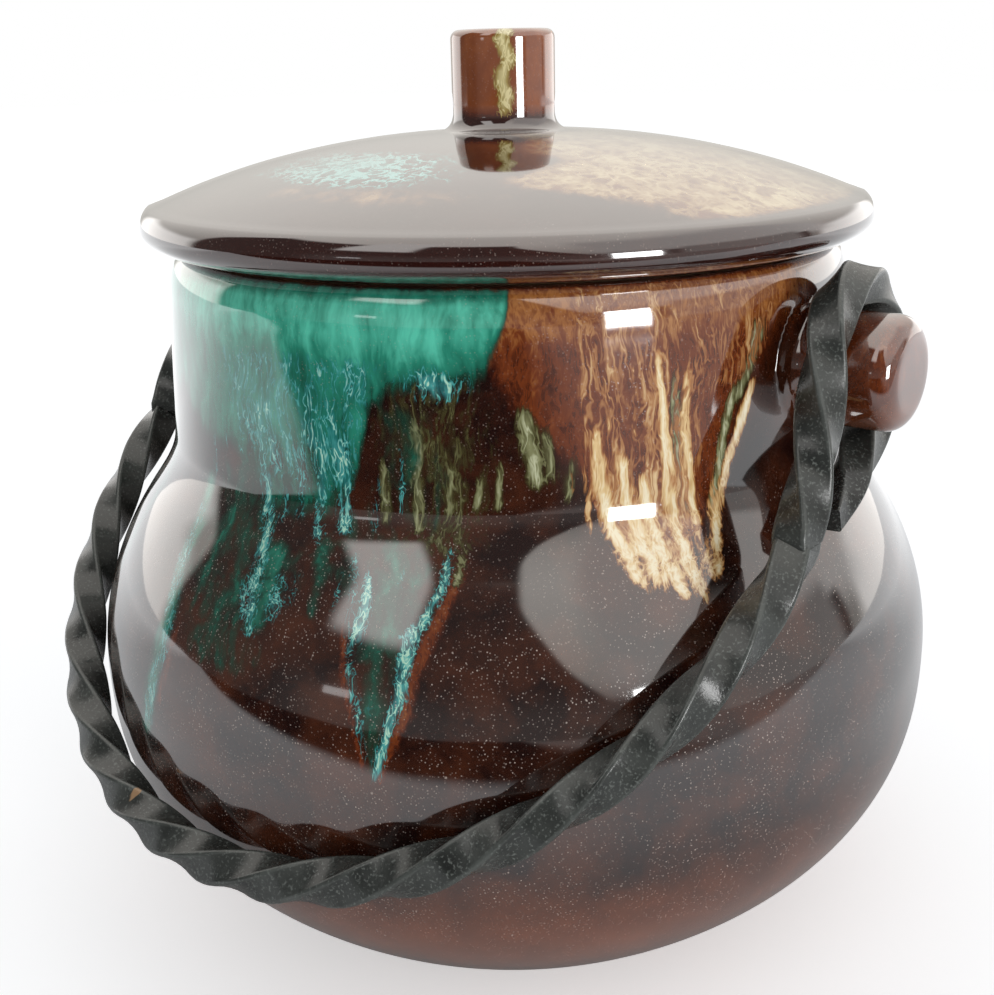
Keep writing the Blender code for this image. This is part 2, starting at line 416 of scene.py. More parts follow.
def repeat_behind(angles: np.ndarray, turn: float) -> np.ndarray:
    """Shift the angles so that the pour on the side in view comes again further round."""
    return (angles - turn + 180.0) % 360.0 - 180.0


# Where the pours end: the height in millimetres by the angle in degrees.
TEAL_EDGE = {
    -180: 152, -158: 150, -145: 141, -130: 134, -118: 122, -104: 131, -92: 124, -76: 117, -62: 121,
    -53: 112, -46: 112, -40: 106, -36: 101, -31: 102, -26: 103, -22: 108, -19: 125, -15: 129, -10: 130,
    -5: 129, -2: 134, 0: 142, 1.2: 152, 180: 152,
}
RUST_EDGE = {
    -180: 138, -165: 134, -150: 139, -140: 152, -16: 152, -8: 140, -3: 131, 0: 124, 4: 117, 9: 112,
    14: 99, 20: 95, 26: 96, 31: 108, 36: 124, 41: 128, 48: 134, 60: 143, 80: 143, 104: 144, 120: 139,
    136: 128, 150: 124, 165: 130, 180: 138,
}
CREAM_EDGE = {
    -180: 152, 8.5: 152, 10.5: 112, 13: 105, 16: 101, 20: 98.5, 24: 98, 27: 101, 30: 112, 33: 126,
    40: 132, 45: 152, 180: 152,
}
# The strands that run out of the pours, by angle, height and half width, and then strength.
TEAL_STRANDS = (
    Strand(((-14.5, 107, 7), (-14.8, 96, 5.4), (-15.2, 86, 3.6), (-15.5, 76, 2), (-15.4, 67, 0.8)), 0.46),
    Strand(((-33.5, 104, 4.2), (-33, 96, 3.2), (-32.6, 88, 1.8)), 0.62),
    Strand(((-52, 112, 2), (-50.5, 98, 2), (-48.6, 86, 1.8), (-49.6, 72, 2), (-51.5, 60, 1.6)), 0.7),
    Strand(((-44, 112, 2.4), (-44, 98, 1.4), (-44.5, 88, 0.8)), 0.5),
    Strand(((-42, 116, 12), (-41, 102, 12), (-39, 90, 9), (-38, 80, 5)), 0.41),
    Strand(((-24, 112, 5), (-22, 103, 3), (-21, 96, 1.5)), 0.36),
    Strand(((-26, 106, 3), (-25.5, 98, 1.6), (-25, 92, 0.8)), 0.5),
    Strand(((-14, 131, 7), (-14, 120, 6), (-13, 107, 5)), 0.3),
    Strand(((-70, 120, 3.4), (-71, 100, 2.4), (-71, 84, 1.4)), 0.6),
    Strand(((-84, 124, 3), (-83, 96, 2.2), (-84, 74, 1.4)), 0.62),
    Strand(((-98, 128, 3.6), (-98, 110, 2.6), (-97, 94, 1.6)), 0.6),
    Strand(((-120, 124, 3), (-119, 100, 2.2), (-118, 82, 1.6)), 0.62),
    Strand(((-132, 138, 3), (-133, 120, 2.2), (-132, 106, 1.4)), 0.6),
)
# Bright wisps within the turquoise.
FLAME_STRANDS = (
    Strand(((-39.2, 130, 1.4), (-38.2, 120, 1.7), (-37.4, 111, 1.7), (-36, 103, 1.7), (-34.6, 96, 1.5),
            (-33.4, 87, 1.2)), 0.77),
    Strand(((-26.4, 133, 1.5), (-25, 126, 2.4), (-23.8, 119, 2.4), (-23.6, 112, 1.8),
            (-23, 105, 1.4)), 0.8),
    Strand(((-28.6, 127, 1.4), (-27.2, 118, 1.7), (-27.6, 110, 1.7), (-27, 103, 1.2)), 0.68),
    Strand(((-31, 125, 1.2), (-30.4, 116, 1.4), (-31, 106, 1.2)), 0.55),
    Strand(((-34.2, 122, 0.9), (-33.4, 114, 1.4), (-34.2, 105, 1.2)), 0.51),
    Strand(((-44, 129, 0.9), (-43, 116, 1.4)), 0.51),
    Strand(((-46.6, 125, 0.9), (-47, 115, 1.2)), 0.43),
    Strand(((-50.4, 121, 0.9), (-50, 110, 1.2)), 0.51),
    Strand(((-35, 101, 1.5), (-36, 95, 1.8), (-35, 89, 1.4)), 0.63),
    Strand(((-31.4, 99, 1.5), (-30.6, 94, 2.2), (-31.4, 89, 1.4)), 0.63),
    Strand(((-28.2, 101, 0.9), (-28.6, 93, 1.4)), 0.47),
    Strand(((-22.4, 101, 0.8), (-22, 91, 0.9)), 0.51),
    Strand(((-52, 106, 1.4), (-50.5, 96, 1.8), (-48.6, 86, 2.1), (-47.8, 80, 1.7), (-49.6, 72, 1.8),
            (-51.4, 61, 1.7)), 0.63),
    Strand(((-7.8, 105, 0.9), (-8.6, 99, 0.9), (-10.3, 94.5, 1.1), (-12, 91.5, 1.6), (-12.5, 86, 1),
            (-12.9, 80, 1.1), (-14.2, 74, 0.9), (-15.3, 66, 0.6)), 0.94),
    Strand(((-18.8, 101, 0.7), (-18, 96, 1.1), (-18.9, 89, 1.5)), 0.9),
    Strand(((-21.2, 104, 1), (-20, 96, 1), (-19.6, 90, 1.2), (-18.4, 83, 0.9), (-17.2, 76, 0.8),
            (-16, 69, 0.6)), 0.62),
    Strand(((-14.2, 104, 0.9), (-14, 97, 0.8)), 0.43),
    Strand(((-16.2, 83, 1.4), (-16, 77, 0.9)), 0.43),
    Strand(((-15.2, 125, 0.8), (-14.8, 116, 0.9), (-15.4, 109, 0.8)), 0.51),
    Strand(((-18, 118, 0.9), (-19, 106, 1.2)), 0.43),
)
# Olive strands where the two pours meet, and a few further right in the cream.
OLIVE_STRANDS = (
    Strand(((1.8, 130, 1), (2.8, 123, 1.8), (4, 115, 1.4)), 0.8),
    Strand(((4.8, 126, 0.9), (5.6, 116, 1.2)), 0.62),
    Strand(((8.4, 121, 1), (8, 112, 1)), 0.55),
    Strand(((-1, 121, 0.6), (-1.6, 111, 0.7)), 0.6),
    Strand(((-4, 119, 0.6), (-4.6, 110, 0.7)), 0.6),
    Strand(((-8, 121, 0.5), (-8.2, 110, 0.7)), 0.6),
    Strand(((-12, 119, 0.5), (-12, 109, 0.5)), 0.55),
    Strand(((-6, 106, 1.1), (-7, 99, 0.7)), 0.6),
    Strand(((-12, 137, 9), (-10, 124, 10), (-9, 112, 9), (-9, 103, 6)), 0.33),
    Strand(((-17.4, 121, 0.9), (-17.2, 108, 1.1)), 0.5),
    Strand(((-13.2, 128, 0.9), (-12.6, 120, 1.1), (-12.4, 107, 1.2)), 0.62),
    Strand(((23.4, 134, 0.7), (24, 121, 1.2), (24.6, 107, 1)), 0.85),
    Strand(((33.4, 130, 0.8), (31, 118, 0.9), (29.2, 106, 0.8)), 0.85),
    Strand(((39, 142, 1.6), (37, 134, 1.4), (34, 127, 0.8)), 0.75),
)
# Rust along the longest strands of turquoise.
EDGE_STRANDS = (
    Strand(((-5.8, 104, 1.4), (-7.8, 97, 1.1), (-9.6, 91.5, 1.4), (-11.4, 85, 1), (-12, 79, 1.2),
            (-13.8, 72, 0.8), (-14.8, 66, 0.6)), 0.72),
    Strand(((-20.6, 93, 0.5), (-19.5, 84, 0.6), (-17.9, 76, 0.5), (-16.4, 68, 0.5)), 0.75),
    Strand(((-46, 86, 0.6), (-46.6, 78, 1), (-48, 68, 1)), 0.6),
)
# Pale strands of the cream pour.
GOLD_STRANDS = (
    Strand(((11.6, 126, 0.8), (12.4, 116, 1.4), (13.6, 108, 1.8), (15.6, 101, 1.4), (17.2, 97, 0.9)), 1),
    Strand(((15, 122, 0.8), (16.2, 112, 1.6), (17.6, 104, 1.9), (19.2, 97, 1.2)), 1),
    Strand(((18.4, 117, 0.7), (19.2, 108, 1.5), (20.6, 101, 1.6), (21.8, 95, 1.1)), 1),
    Strand(((20.8, 139, 0.5), (21.6, 128, 1.1), (22.2, 118, 1.2), (22.8, 107, 1.6), (23.6, 100, 1.5),
            (24.2, 94, 0.9)), 0.95),
    Strand(((25.6, 135, 0.7), (25, 124, 1.1), (25.6, 113, 1.1), (26.2, 104, 1.2), (26.2, 97, 0.8)), 0.8),
    Strand(((38, 132, 0.8), (35.2, 124, 1.1), (32.6, 117, 1.2), (30.6, 110, 1.2), (28.6, 103, 1.1),
            (27.2, 97, 0.8)), 0.9),
    Strand(((31, 123, 0.5), (30, 114, 0.8), (28.4, 106, 0.8)), 0.6),
    Strand(((10, 121, 0.5), (10.6, 112, 0.8), (10.8, 106, 0.5)), 0.6),
    Strand(((8, 120, 0.7), (8.6, 113, 0.8)), 0.55),
    Strand(((13.6, 141, 0.5), (13, 132, 0.5), (13.8, 124, 0.5)), 0.5),
    Strand(((17, 138, 0.5), (17.8, 130, 0.7), (17.2, 122, 0.5)), 0.5),
)


@dataclass
class Pot:
    """The pot: a turned body with a round belly and a lug on each side."""

    finish: GlazeFinish
    base_radius: float = 56.0 * MM
    base_edge: float = 1.6 * MM
    belly_radius: float = 95.0 * MM
    belly_height: float = 61.2 * MM
    waist_radius: float = 75.8 * MM
    waist_height: float = 106.1 * MM
    waist_softness: float = 5.0 * MM
    rim_radius: float = 73.3 * MM
    rim_height: float = 150.5 * MM
    rim_outer: float = 3.6 * MM
    rim_inner: float = 1.2 * MM
    lower_power: float = 2.5
    upper_power: float = 2.07
    wall: float = 5.4 * MM
    floor: float = 7.0 * MM
    lug_radius: float = 11.1 * MM
    lug_reach: float = 94.3 * MM
    lug_height: float = 130.1 * MM
    lug_rounding: float = 4.2 * MM
    lug_flare: float = 1.6 * MM
    lip_rounding: float = 8.5 * MM
    lip_start: float = 9.0
    floor_corner: float = 3.0 * MM
    segments: int = 400
    levels: int = 104
    inside_stride: int = 4
    crowding: float = 0.5
    round_share: float = math.cos(math.pi / SOLID_FACETS)
    second_pour: float = 166.0
    second_lift: float = 5.0
    root_reach: float = 3.2 * MM
    root_span: float = 3.0 * MM
    root_passes: int = 6
    spacing: float = 4.5 * MM
    lug_spacing: float = 1.5 * MM
    lug_segments: int = 96

    def neck_radius(self, height: float) -> float:
        """Outside radius of the neck at a height."""
        share = (height - self.waist_height) / (self.rim_height - self.waist_height)
        return self.waist_radius + (self.rim_radius - self.waist_radius) * share

    def outer_radius(self, height: float) -> float:
        """Outside radius of the pot at a height."""
        if height <= self.belly_height:
            share = 1.0 - (1.0 - height / self.belly_height) ** self.lower_power
            return self.base_radius + (self.belly_radius - self.base_radius) * share
        share = (height - self.belly_height) / (self.waist_height - self.belly_height)
        belly = self.belly_radius - (self.belly_radius - self.waist_radius) * share**self.upper_power
        neck = self.neck_radius(height)
        closeness = max(self.waist_softness - abs(belly - neck), 0.0) / self.waist_softness
        return max(belly, neck) + closeness * closeness * self.waist_softness / 4.0

    def inside_point(self, height: float) -> Point:
        """The point of the inside that faces the outside point at a height."""
        reach = 0.1 * MM
        slope = (self.outer_radius(height + reach) - self.outer_radius(height - reach)) / (2.0 * reach)
        length = math.hypot(1.0, slope)
        return (self.outer_radius(height) - self.wall / length, height + self.wall * slope / length)

    def mouth_radius(self) -> float:
        """Inside radius of the neck just under the rim."""
        return self.inside_point(self.rim_height - self.rim_outer)[0]

    def outline(self) -> list[Point]:
        """Outline of the pot, up the outside, over the rim and down the inside."""
        edge = self.base_edge
        slope = self.lower_power * (self.belly_radius - self.base_radius) / self.belly_height
        turn = math.atan2(1.0, slope)
        centre = (self.base_radius - edge * math.tan(turn / 2.0), edge)
        points = [(0.0, 0.0)]
        points += arc(centre, (edge, edge), -90.0, math.degrees(turn) - 90.0, 4)
        top = self.rim_height - self.lip_rounding
        heights = top * np.linspace(0.0, 1.0, self.levels + 1)[1:]
        points += [(self.outer_radius(float(height)), float(height)) for height in heights]
        shoulder = (self.rim_outer, self.lip_rounding)
        points += arc((self.neck_radius(top) - self.rim_outer, top), shoulder, self.lip_start, 90.0, 14)
        lip = self.rim_inner
        points += arc((self.mouth_radius() + lip, self.rim_height - lip), (lip, lip), 90.0, 180.0, 5)
        inside = [self.inside_point(float(height)) for height in reversed(heights[:: self.inside_stride])]
        corner = self.floor_corner
        inside = [point for point in inside if point[1] > self.floor + corner]
        reach = inside[-1][0]
        slope_in = (inside[-2][0] - reach) / (inside[-2][1] - inside[-1][1])
        foot = reach - slope_in * corner
        points += inside
        # The wall meets the floor in an eased corner.
        points += [(foot - 0.4 * corner, self.floor + 0.25 * corner), (foot - corner, self.floor)]
        points.append((0.0, self.floor))
        return dense([(radius * self.round_share, height) for radius, height in points], self.spacing)

    def crowd(self, shape: bmesh.types.BMesh) -> None:
        """Draw the segments closer together on the side in view, where the runs are fine."""
        facing = VIEW_SIDE - math.pi / 2.0
        for vert in shape.verts:
            angle = math.atan2(vert.co.y, vert.co.x)
            turn = -self.crowding * math.sin(angle - facing)
            vert.co.rotate(Matrix.Rotation(turn, 3, "Z"))

    def lug_outline(self) -> list[Point]:
        """Outline of a lug along its axis, from its end face to its root in the wall."""
        rounding = self.lug_rounding
        flare = self.lug_flare
        neck = self.neck_radius(self.lug_height)
        points = [(0.0, self.lug_reach)]
        centre = (self.lug_radius - rounding, self.lug_reach - rounding)
        points += arc(centre, (rounding, rounding), 90.0, 0.0, 12)
        points += arc((self.lug_radius + flare, neck + flare), (flare, flare), 180.0, 270.0, 6)
        root = neck - self.wall / 2.0
        points += [(self.lug_radius + flare, root), (0.0, root)]
        return dense(points, self.lug_spacing)

    def join_lug(self, piece: Piece, side: float) -> None:
        """Weld one lug to the body and drop the spare object.

        Args:
            piece: The pot's body.
            side: 1 on the right and -1 on the left.
        """
        shape = turn_outline(self.lug_outline(), self.lug_segments, Vector((side, 0.0, 0.0)))
        bmesh.ops.translate(shape, vec=(0.0, 0.0, self.lug_height), verts=shape.verts)
        lug = piece_from("spare_lug", shape)
        union = piece.modifiers.new("lug", "BOOLEAN")
        union.operation = "UNION"
        union.solver = "EXACT"
        union.object = lug
        joined = final_mesh(piece)
        piece.modifiers.clear()
        piece.data = joined
        bpy.data.objects.remove(lug, do_unlink=True)

    def soften_roots(self, piece: Piece) -> None:
        """Blend the glaze over the joint between each lug and the neck."""
        shape = bmesh.new()
        shape.from_mesh(piece.data)
        reach = self.neck_radius(self.lug_height)
        near = []
        for vert in shape.verts:
            radius = math.hypot(vert.co.y, vert.co.z - self.lug_height)
            if radius < self.lug_radius + self.root_reach and abs(abs(vert.co.x) - reach) < self.root_span:
                if math.hypot(vert.co.x, vert.co.y) > reach - self.root_span / 2.0:
                    near.append(vert)
        axes = {"use_axis_x": True, "use_axis_y": True, "use_axis_z": True}
        for _ in range(self.root_passes):
            bmesh.ops.smooth_vert(shape, verts=near, factor=0.5, **axes)
        shape.to_mesh(piece.data)
        shape.free()

    def turquoise(self, angles: np.ndarray, heights: np.ndarray) -> tuple[np.ndarray, np.ndarray]:
        """Cover of the turquoise pour and of the bright wisps in it.

        Args:
            angles: Angle of each place, in degrees.
            heights: Height of each place, in millimetres.

        Returns:
            The two covers.
        """
        # Deep at the lower edge, milky higher up, with a painted highlight in a line under the lip and
        # painted shade above it, under the lid.
        tone = 0.48 + 0.24 * climb(heights, 116.0, 10.0) + 0.3 * climb(heights, 135.0, 9.0)
        tone += 0.22 * bell(heights, 144.4, 1.6) - 0.3 * climb(heights, 147.0, 2.0)
        flood = beyond(heights, angles, TEAL_EDGE, 9.0) * tone
        curls = beyond(heights, angles, TEAL_EDGE, 16.0) * climb(heights, 141.0, -5.0)
        curls = 0.56 * curls * climb(angles, -56.0, 14.0)
        tuft = 0.74 * bell(angles, -10.0, 7.0) * bell(heights, 134.0, 4.4)
        wisps = np.maximum(strands_over(angles, heights, FLAME_STRANDS), curls)
        teal = np.maximum(flood, strands_over(angles, heights, TEAL_STRANDS))
        return teal, np.maximum(wisps, tuft)

    def browns(self, angles: np.ndarray, heights: np.ndarray) -> dict[str, np.ndarray]:
        """Cover of the rust, cream, gold and olive layers.

        Args:
            angles: Angle of each place, in degrees.
            heights: Height of each place, in millimetres.

        Returns:
            The covers by the layer's name.
        """
        behind = repeat_behind(angles, self.second_pour)
        lifted = heights - self.second_lift
        far = np.abs(angles) > BACK_ANGLE
        rust = beyond(heights, angles, RUST_EDGE, 12.0) * (0.62 + 0.3 * climb(heights, 138.0, 6.0))
        cream = beyond(heights, angles, CREAM_EDGE, 5.0) * (0.46 + 0.26 * climb(heights, 126.0, -14.0))
        # A dark lane parts the pour on its right, and it ends before the lug.
        lane = bell(angles - 0.16 * (heights - 118.0), 29.0, 2.2) * climb(heights, 132.0, -6.0)
        cream = cream * (1.0 - 0.8 * lane) * climb(angles, 56.0, -8.0)
        back = beyond(lifted, behind, CREAM_EDGE, 5.0) * far
        gold = strands_over(angles, heights, GOLD_STRANDS)
        olive = strands_over(angles, heights, OLIVE_STRANDS)
        return {
            "rust": np.maximum(rust, strands_over(angles, heights, EDGE_STRANDS)),
            "cream": np.maximum(cream, 0.55 * back),
            "gold": np.maximum(gold, strands_over(behind, lifted, GOLD_STRANDS)),
            "olive": np.maximum(olive, strands_over(behind, lifted, OLIVE_STRANDS) * far),
        }

    def glaze(self, piece: Piece) -> None:
        """Mark where each layer of glaze lies."""
        places = corners_of(piece)
        angles = view_angle(places)
        heights = places[:, 2] / MM
        radii = np.hypot(places[:, 0], places[:, 1])
        inner = np.array([self.inside_limit(height) for height in heights])
        # The lugs are what stands out from the neck, above where the belly ends.
        lug = climb(radii, self.rim_radius + 2.0 * MM, 3.0 * MM) * (heights > 112.0)
        body = climb(radii, inner, 1.2 * MM) * (1.0 - lug)
        teal, wisps = self.turquoise(angles, heights)
        covers = {"teal": teal, "wisp": wisps, **self.browns(angles, heights)}
        covers = {name: cover * body for name, cover in covers.items()}
        covers["rust"] = np.maximum(covers["rust"], 0.62 * lug * climb(heights, 120.0, 12.0))
        covers["warm"] = np.maximum((1.0 - climb(heights, 20.0, 34.0)) * body, 0.7 * lug)
        covers["bare"] = climb(heights, 0.35, -0.3)
        for name, cover in covers.items():
            paint(piece, name, cover)

    def inside_limit(self, height: float) -> float:
        """Radius, at a height in millimetres, halfway through the wall."""
        return self.outer_radius(min(max(height * MM, 0.0), self.rim_height)) - self.wall / 2.0

    def build(self) -> Piece:
        """Build the pot and dress it."""
        shape = turn_outline(self.outline(), self.segments, UP)
        self.crowd(shape)
        piece = piece_from("pot_glazed", shape)
        self.join_lug(piece, 1.0)
        self.join_lug(piece, -1.0)
        self.soften_roots(piece)
        piece.data.shade_smooth()
        self.glaze(piece)
        piece.data.materials.clear()
        piece.data.materials.append(make_glaze(self.finish))
        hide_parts("pot")
        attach(piece, "pot")
        return piece


@dataclass
class Lid:
    """The lid: a low dome with a bullnose rim, a locating flange and a stub knob."""

    finish: GlazeFinish
    pot: Pot
    radius: float = 78.9 * MM
    edge_height: float = 4.6 * MM
    shoulder_height: float = 4.6 * MM
    shoulder_width: float = 3.6 * MM
    dome_rise: float = 13.2 * MM
    dome_power: float = 2.3
    thickness: float = 5.2 * MM
    seat_gap: float = 0.3 * MM
    flange_clearance: float = 1.3 * MM
    flange_thickness: float = 4.2 * MM
    flange_depth: float = 8.0 * MM
    flange_root: float = 4.2 * MM
    knob_radius: float = 11.1 * MM
    knob_height: float = 20.2 * MM
    knob_rounding: float = 1.8 * MM
    knob_fillet: float = 3.2 * MM
    spacing: float = 2.4 * MM
    dome_points: int = 40
    under_points: int = 20
    segments: int = 336
    round_share: float = math.cos(math.pi / SOLID_FACETS)

    def dome_height(self, radius: float) -> float:
        """Height of the dome at a radius, above its seat."""
        edge = self.radius - self.shoulder_width
        share = min(radius / edge, 1.0) ** self.dome_power
        return self.edge_height + self.shoulder_height + self.dome_rise * (1.0 - share)

    def outline(self) -> list[Point]:
        """Outline of the lid, from the knob's top down the outside and back under."""
        top = self.dome_height(0.0) + self.knob_height
        rounding = self.knob_rounding
        points = [(0.0, top)]
        points += arc((self.knob_radius - rounding, top - rounding), (rounding, rounding), 90.0, 0.0, 8)
        fillet = self.knob_fillet
        foot = self.dome_height(self.knob_radius + fillet)
        points += arc((self.knob_radius + fillet, foot + fillet), (fillet, fillet), 180.0, 264.0, 10)
        edge = self.radius - self.shoulder_width
        start = self.knob_radius + fillet
        for radius in np.linspace(start, edge, self.dome_points)[1:]:
            points.append((float(radius), self.dome_height(float(radius))))
        shoulder = (self.shoulder_width, self.shoulder_height)
        points += arc((edge, self.edge_height), shoulder, 66.0, 0.0, 10)
        seat = self.pot.rim_radius - self.pot.rim_outer
        points += arc((seat, self.edge_height), (self.radius - seat, self.edge_height), -6.0, -90.0, 14)
        flange = self.pot.mouth_radius() - self.flange_clearance
        half = self.flange_thickness / 2.0
        points += [(flange, 0.0), (flange, half - self.flange_depth)]
        points += arc((flange - half, half - self.flange_depth), (half, half), -20.0, -180.0, 8)
        inner = flange - self.flange_thickness
        points.append((inner, 0.0))
        for radius in np.linspace(inner - self.flange_root, 0.0, self.under_points):
            points.append((float(radius), self.dome_height(float(radius)) - self.thickness))
        rise = self.pot.rim_height + self.seat_gap
        points = [(radius * self.round_share, height + rise) for radius, height in points]
        return dense(points, self.spacing)

    def glaze(self, piece: Piece) -> None:
        """Mark where each layer of glaze lies."""
        places = corners_of(piece)
        angles = view_angle(places)
        radii = np.hypot(places[:, 0], places[:, 1]) / MM
        heights = (places[:, 2] - self.pot.rim_height - self.seat_gap) / MM
        dome = np.array([self.dome_height(radius * MM) / MM for radius in radii])
        knob = climb(heights, dome + 1.5, 3.0)
        upper = np.clip(climb(heights, dome - 2.4, 1.4) + (radii > 75.0) * (heights > 2.0), 0.0, 1.0)
        # The cream net lies on the right, with a swaying edge.
        sway = 4.0 * np.sin(radii * 0.31) + 3.0 * np.sin(radii * 0.17 + 1.3)
        cream = climb(angles, sway + 1.1 * np.maximum(radii - 58.0, 0.0), 15.0)
        cream = cream * climb(angles, 138.0 + 2.0 * sway, -34.0)
        cream = cream * climb(radii, 12.0, 8.0) * climb(radii, 77.0, -5.0)
        smear = bell(angles, -26.0, 26.0) * bell(radii, 62.0, 5.0)
        # The turquoise flecks lie on the left, between the knob and the rim.
        teal = bell(angles, -38.0, 34.0) * climb(radii, 30.0, 14.0) * climb(radii, 66.0, -14.0)
        # A stripe runs down the knob in front, and a fainter one behind.
        wave = 3.0 * np.sin(heights * 0.9) + 2.0 * np.sin(heights * 2.3)
        stripe = bell(angles - wave, 2.0, 10.0) * knob
        back = bell(np.abs(angles) - wave, 150.0, 14.0) * knob
        seat = climb(heights, 1.0, -0.8) * climb(radii, 60.0, 1.0) * climb(radii, 71.0, -1.5)
        covers = {
            "cream": np.maximum(0.66 * cream, 0.4 * smear) * upper * (1.0 - knob),
            "teal": teal * upper * (1.0 - knob),
            "stripe": np.maximum(stripe, 0.7 * back) * climb(radii, 4.0, 5.0),
            "rust": np.maximum(0.78 * knob, 0.8 * cream * upper),
            "warm": knob,
            "bare": seat,
        }
        for name, cover in covers.items():
            paint(piece, name, cover)

    def build(self) -> Piece:
        """Build the lid and dress it."""
        piece = piece_from("lid_glazed", turn_outline(self.outline(), self.segments, UP))
        self.glaze(piece)
        piece.data.materials.append(make_glaze(self.finish))
        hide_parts("lid")
        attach(piece, "lid")
        return piece


@dataclass(frozen=True)
class Chip:
    """A chip in the paint, in millimetres: its middle along the bar and across it."""

    name: str
    travel: float
    length: float
    offset: float
    width: float


@dataclass
class Bail:
    """The bail: one square bar, twisted, bent to a bow and hooked round the lugs."""

    finish: PaintFinish
    pot: Pot
    side: float = 6.86 * MM
    corner: float = 0.74 * MM
    solid_side: float = 7.2 * MM
    solid_corner: float = 0.8 * MM
    turn_length: float = 85.3 * MM
    middle_share: float = 0.31
    middle_reach: float = 70.0 * MM
    middle_angle: float = math.radians(66.0)
    hook_clearance: float = 0.4 * MM
    neck_gap: float = 1.2 * MM
    half_width: float = 86.8 * MM
    shoulder_drop: float = 39.4 * MM
    shank_drop: float = 49.5 * MM
    drop: float = 131.4 * MM
    lean: float = math.radians(49.08)
    front_angle: float = math.radians(25.0)
    back_angle: float = math.radians(15.0)
    tail_drop: float = 28.6 * MM
    tail_offset: float = 8.4 * MM
    tail_slope: float = 0.45
    taper_length: float = 14.0 * MM
    tip_share: float = 0.72
    step: float = 0.9 * MM
    merge_gap: float = 0.002 * MM
    sharp_angle: float = math.radians(50.0)
    bow_points: int = 240
    shank_points: int = 48
    hook_points: int = 64
    tail_points: int = 24
    ridge_start: float = 1.16
    ridge_width: float = 0.14
    chips: tuple[Chip, ...] = (
        Chip("cream_chip", 417.5, 3.0, -0.8, 1.2),
        Chip("tan_chip", 242.6, 0.9, 0.2, 0.9),
    )

    def section_radius(self) -> float:
        """Distance from the solid bar's middle to its furthest corner."""
        half = self.solid_side / 2.0
        return math.hypot(half, half - self.solid_corner)

    def hook_radius(self) -> float:
        """Radius of the centre line round a lug."""
        return self.pot.lug_radius + self.hook_clearance + self.section_radius()

    def spread(self, drop: float) -> float:
        """Distance of a leg from the middle plane, by its drop below the lugs' axis."""
        nearest = self.pot.waist_radius + self.neck_gap + self.section_radius()
        share = (drop + self.hook_radius()) / (self.shoulder_drop + self.hook_radius())
        return nearest + (self.half_width - nearest) * float(smooth_step(share))

    @staticmethod
    def hermite(ends: Point, slopes: Point, length: float, share: float) -> float:
        """Cubic between two values with given slopes over a length."""
        square = share * share
        cube = square * share
        value = (2.0 * cube - 3.0 * square + 1.0) * ends[0] + (3.0 * square - 2.0 * cube) * ends[1]
        value += (cube - 2.0 * square + share) * length * slopes[0]
        return value + (cube - square) * length * slopes[1]

    def half_route(self) -> list[Place]:
        """Right half of the centre line as across, drop and forward, from bow to tail."""
        route = []
        for angle in np.linspace(math.pi / 2.0, 0.0, self.bow_points + 1)[:-1]:
            depth = (self.drop - self.shoulder_drop) * math.sin(angle)
            route.append((self.half_width * math.cos(angle), self.shoulder_drop + depth, 0.0))
        radius = self.hook_radius()
        join = radius * math.sin(self.front_angle)
        length = self.shank_drop - join
        ends = (radius * math.cos(self.front_angle), 0.0)
        slopes = (-math.tan(self.front_angle), 0.0)
        for share in np.linspace(1.0, 0.0, self.shank_points + 1)[:-1]:
            drop = join + length * share
            if drop < self.shoulder_drop:
                route.append((self.spread(drop), drop, self.hermite(ends, slopes, length, share)))
        turn = math.pi + self.front_angle + self.back_angle
        for angle in self.front_angle - turn * np.linspace(0.0, 1.0, self.hook_points + 1):
            drop = radius * math.sin(angle)
            route.append((self.spread(drop), drop, radius * math.cos(angle)))
        start = radius * math.sin(self.back_angle)
        length = self.tail_drop - start
        ends = (-radius * math.cos(self.back_angle), -self.tail_offset)
        slopes = (math.tan(self.back_angle), self.tail_slope)
        for share in np.linspace(0.0, 1.0, self.tail_points + 1)[1:]:
            drop = start + length * share
            route.append((self.spread(drop), drop, self.hermite(ends, slopes, length, share)))
        return route

    def centre_line(self) -> tuple[np.ndarray, np.ndarray]:
        """The whole centre line as it hangs, evenly spaced.

        Returns:
            Its points, and how far along the bar each of them lies.
        """
        half = self.half_route()
        whole = [(-across, -forward, -drop) for across, drop, forward in reversed(half[1:])]
        whole += [(across, -forward, -drop) for across, drop, forward in half]
        places = np.array(whole)
        lengths = np.concatenate([[0.0], np.cumsum(np.linalg.norm(np.diff(places, axis=0), axis=1))])
        count = round(lengths[-1] / self.step)
        along = np.linspace(0.0, lengths[-1], count + 1)
        even = np.stack([np.interp(along, lengths, places[:, axis]) for axis in range(3)], axis=1)
        lean = np.array(Matrix.Rotation(-self.lean, 3, "X"))
        even = even @ lean.T + np.array((0.0, 0.0, self.pot.lug_height))
        return even, along

    def section(self) -> Piece:
        """The bar's section: a square with eased corners, as a closed guide curve."""
        half = self.side / 2.0
        inset = half - self.corner
        quarter = [(half, 0.9 * inset), (half, -0.9 * inset)]
        quarter += arc((inset, -inset), (self.corner, self.corner), 0.0, -90.0, 3)
        data = bpy.data.curves.new("bar section", "CURVE")
        data.dimensions = "2D"
        line = data.splines.new("POLY")
        line.points.add(4 * len(quarter) - 1)
        index = 0
        for turn in range(4):
            spin = Matrix.Rotation(-turn * math.pi / 2.0, 2)
            for corner in quarter:
                point = spin @ Vector(corner)
                line.points[index].co = (point.x, point.y, 0.0, 1.0)
                index += 1
        line.use_cyclic_u = True
        return add_object("bar section", data)

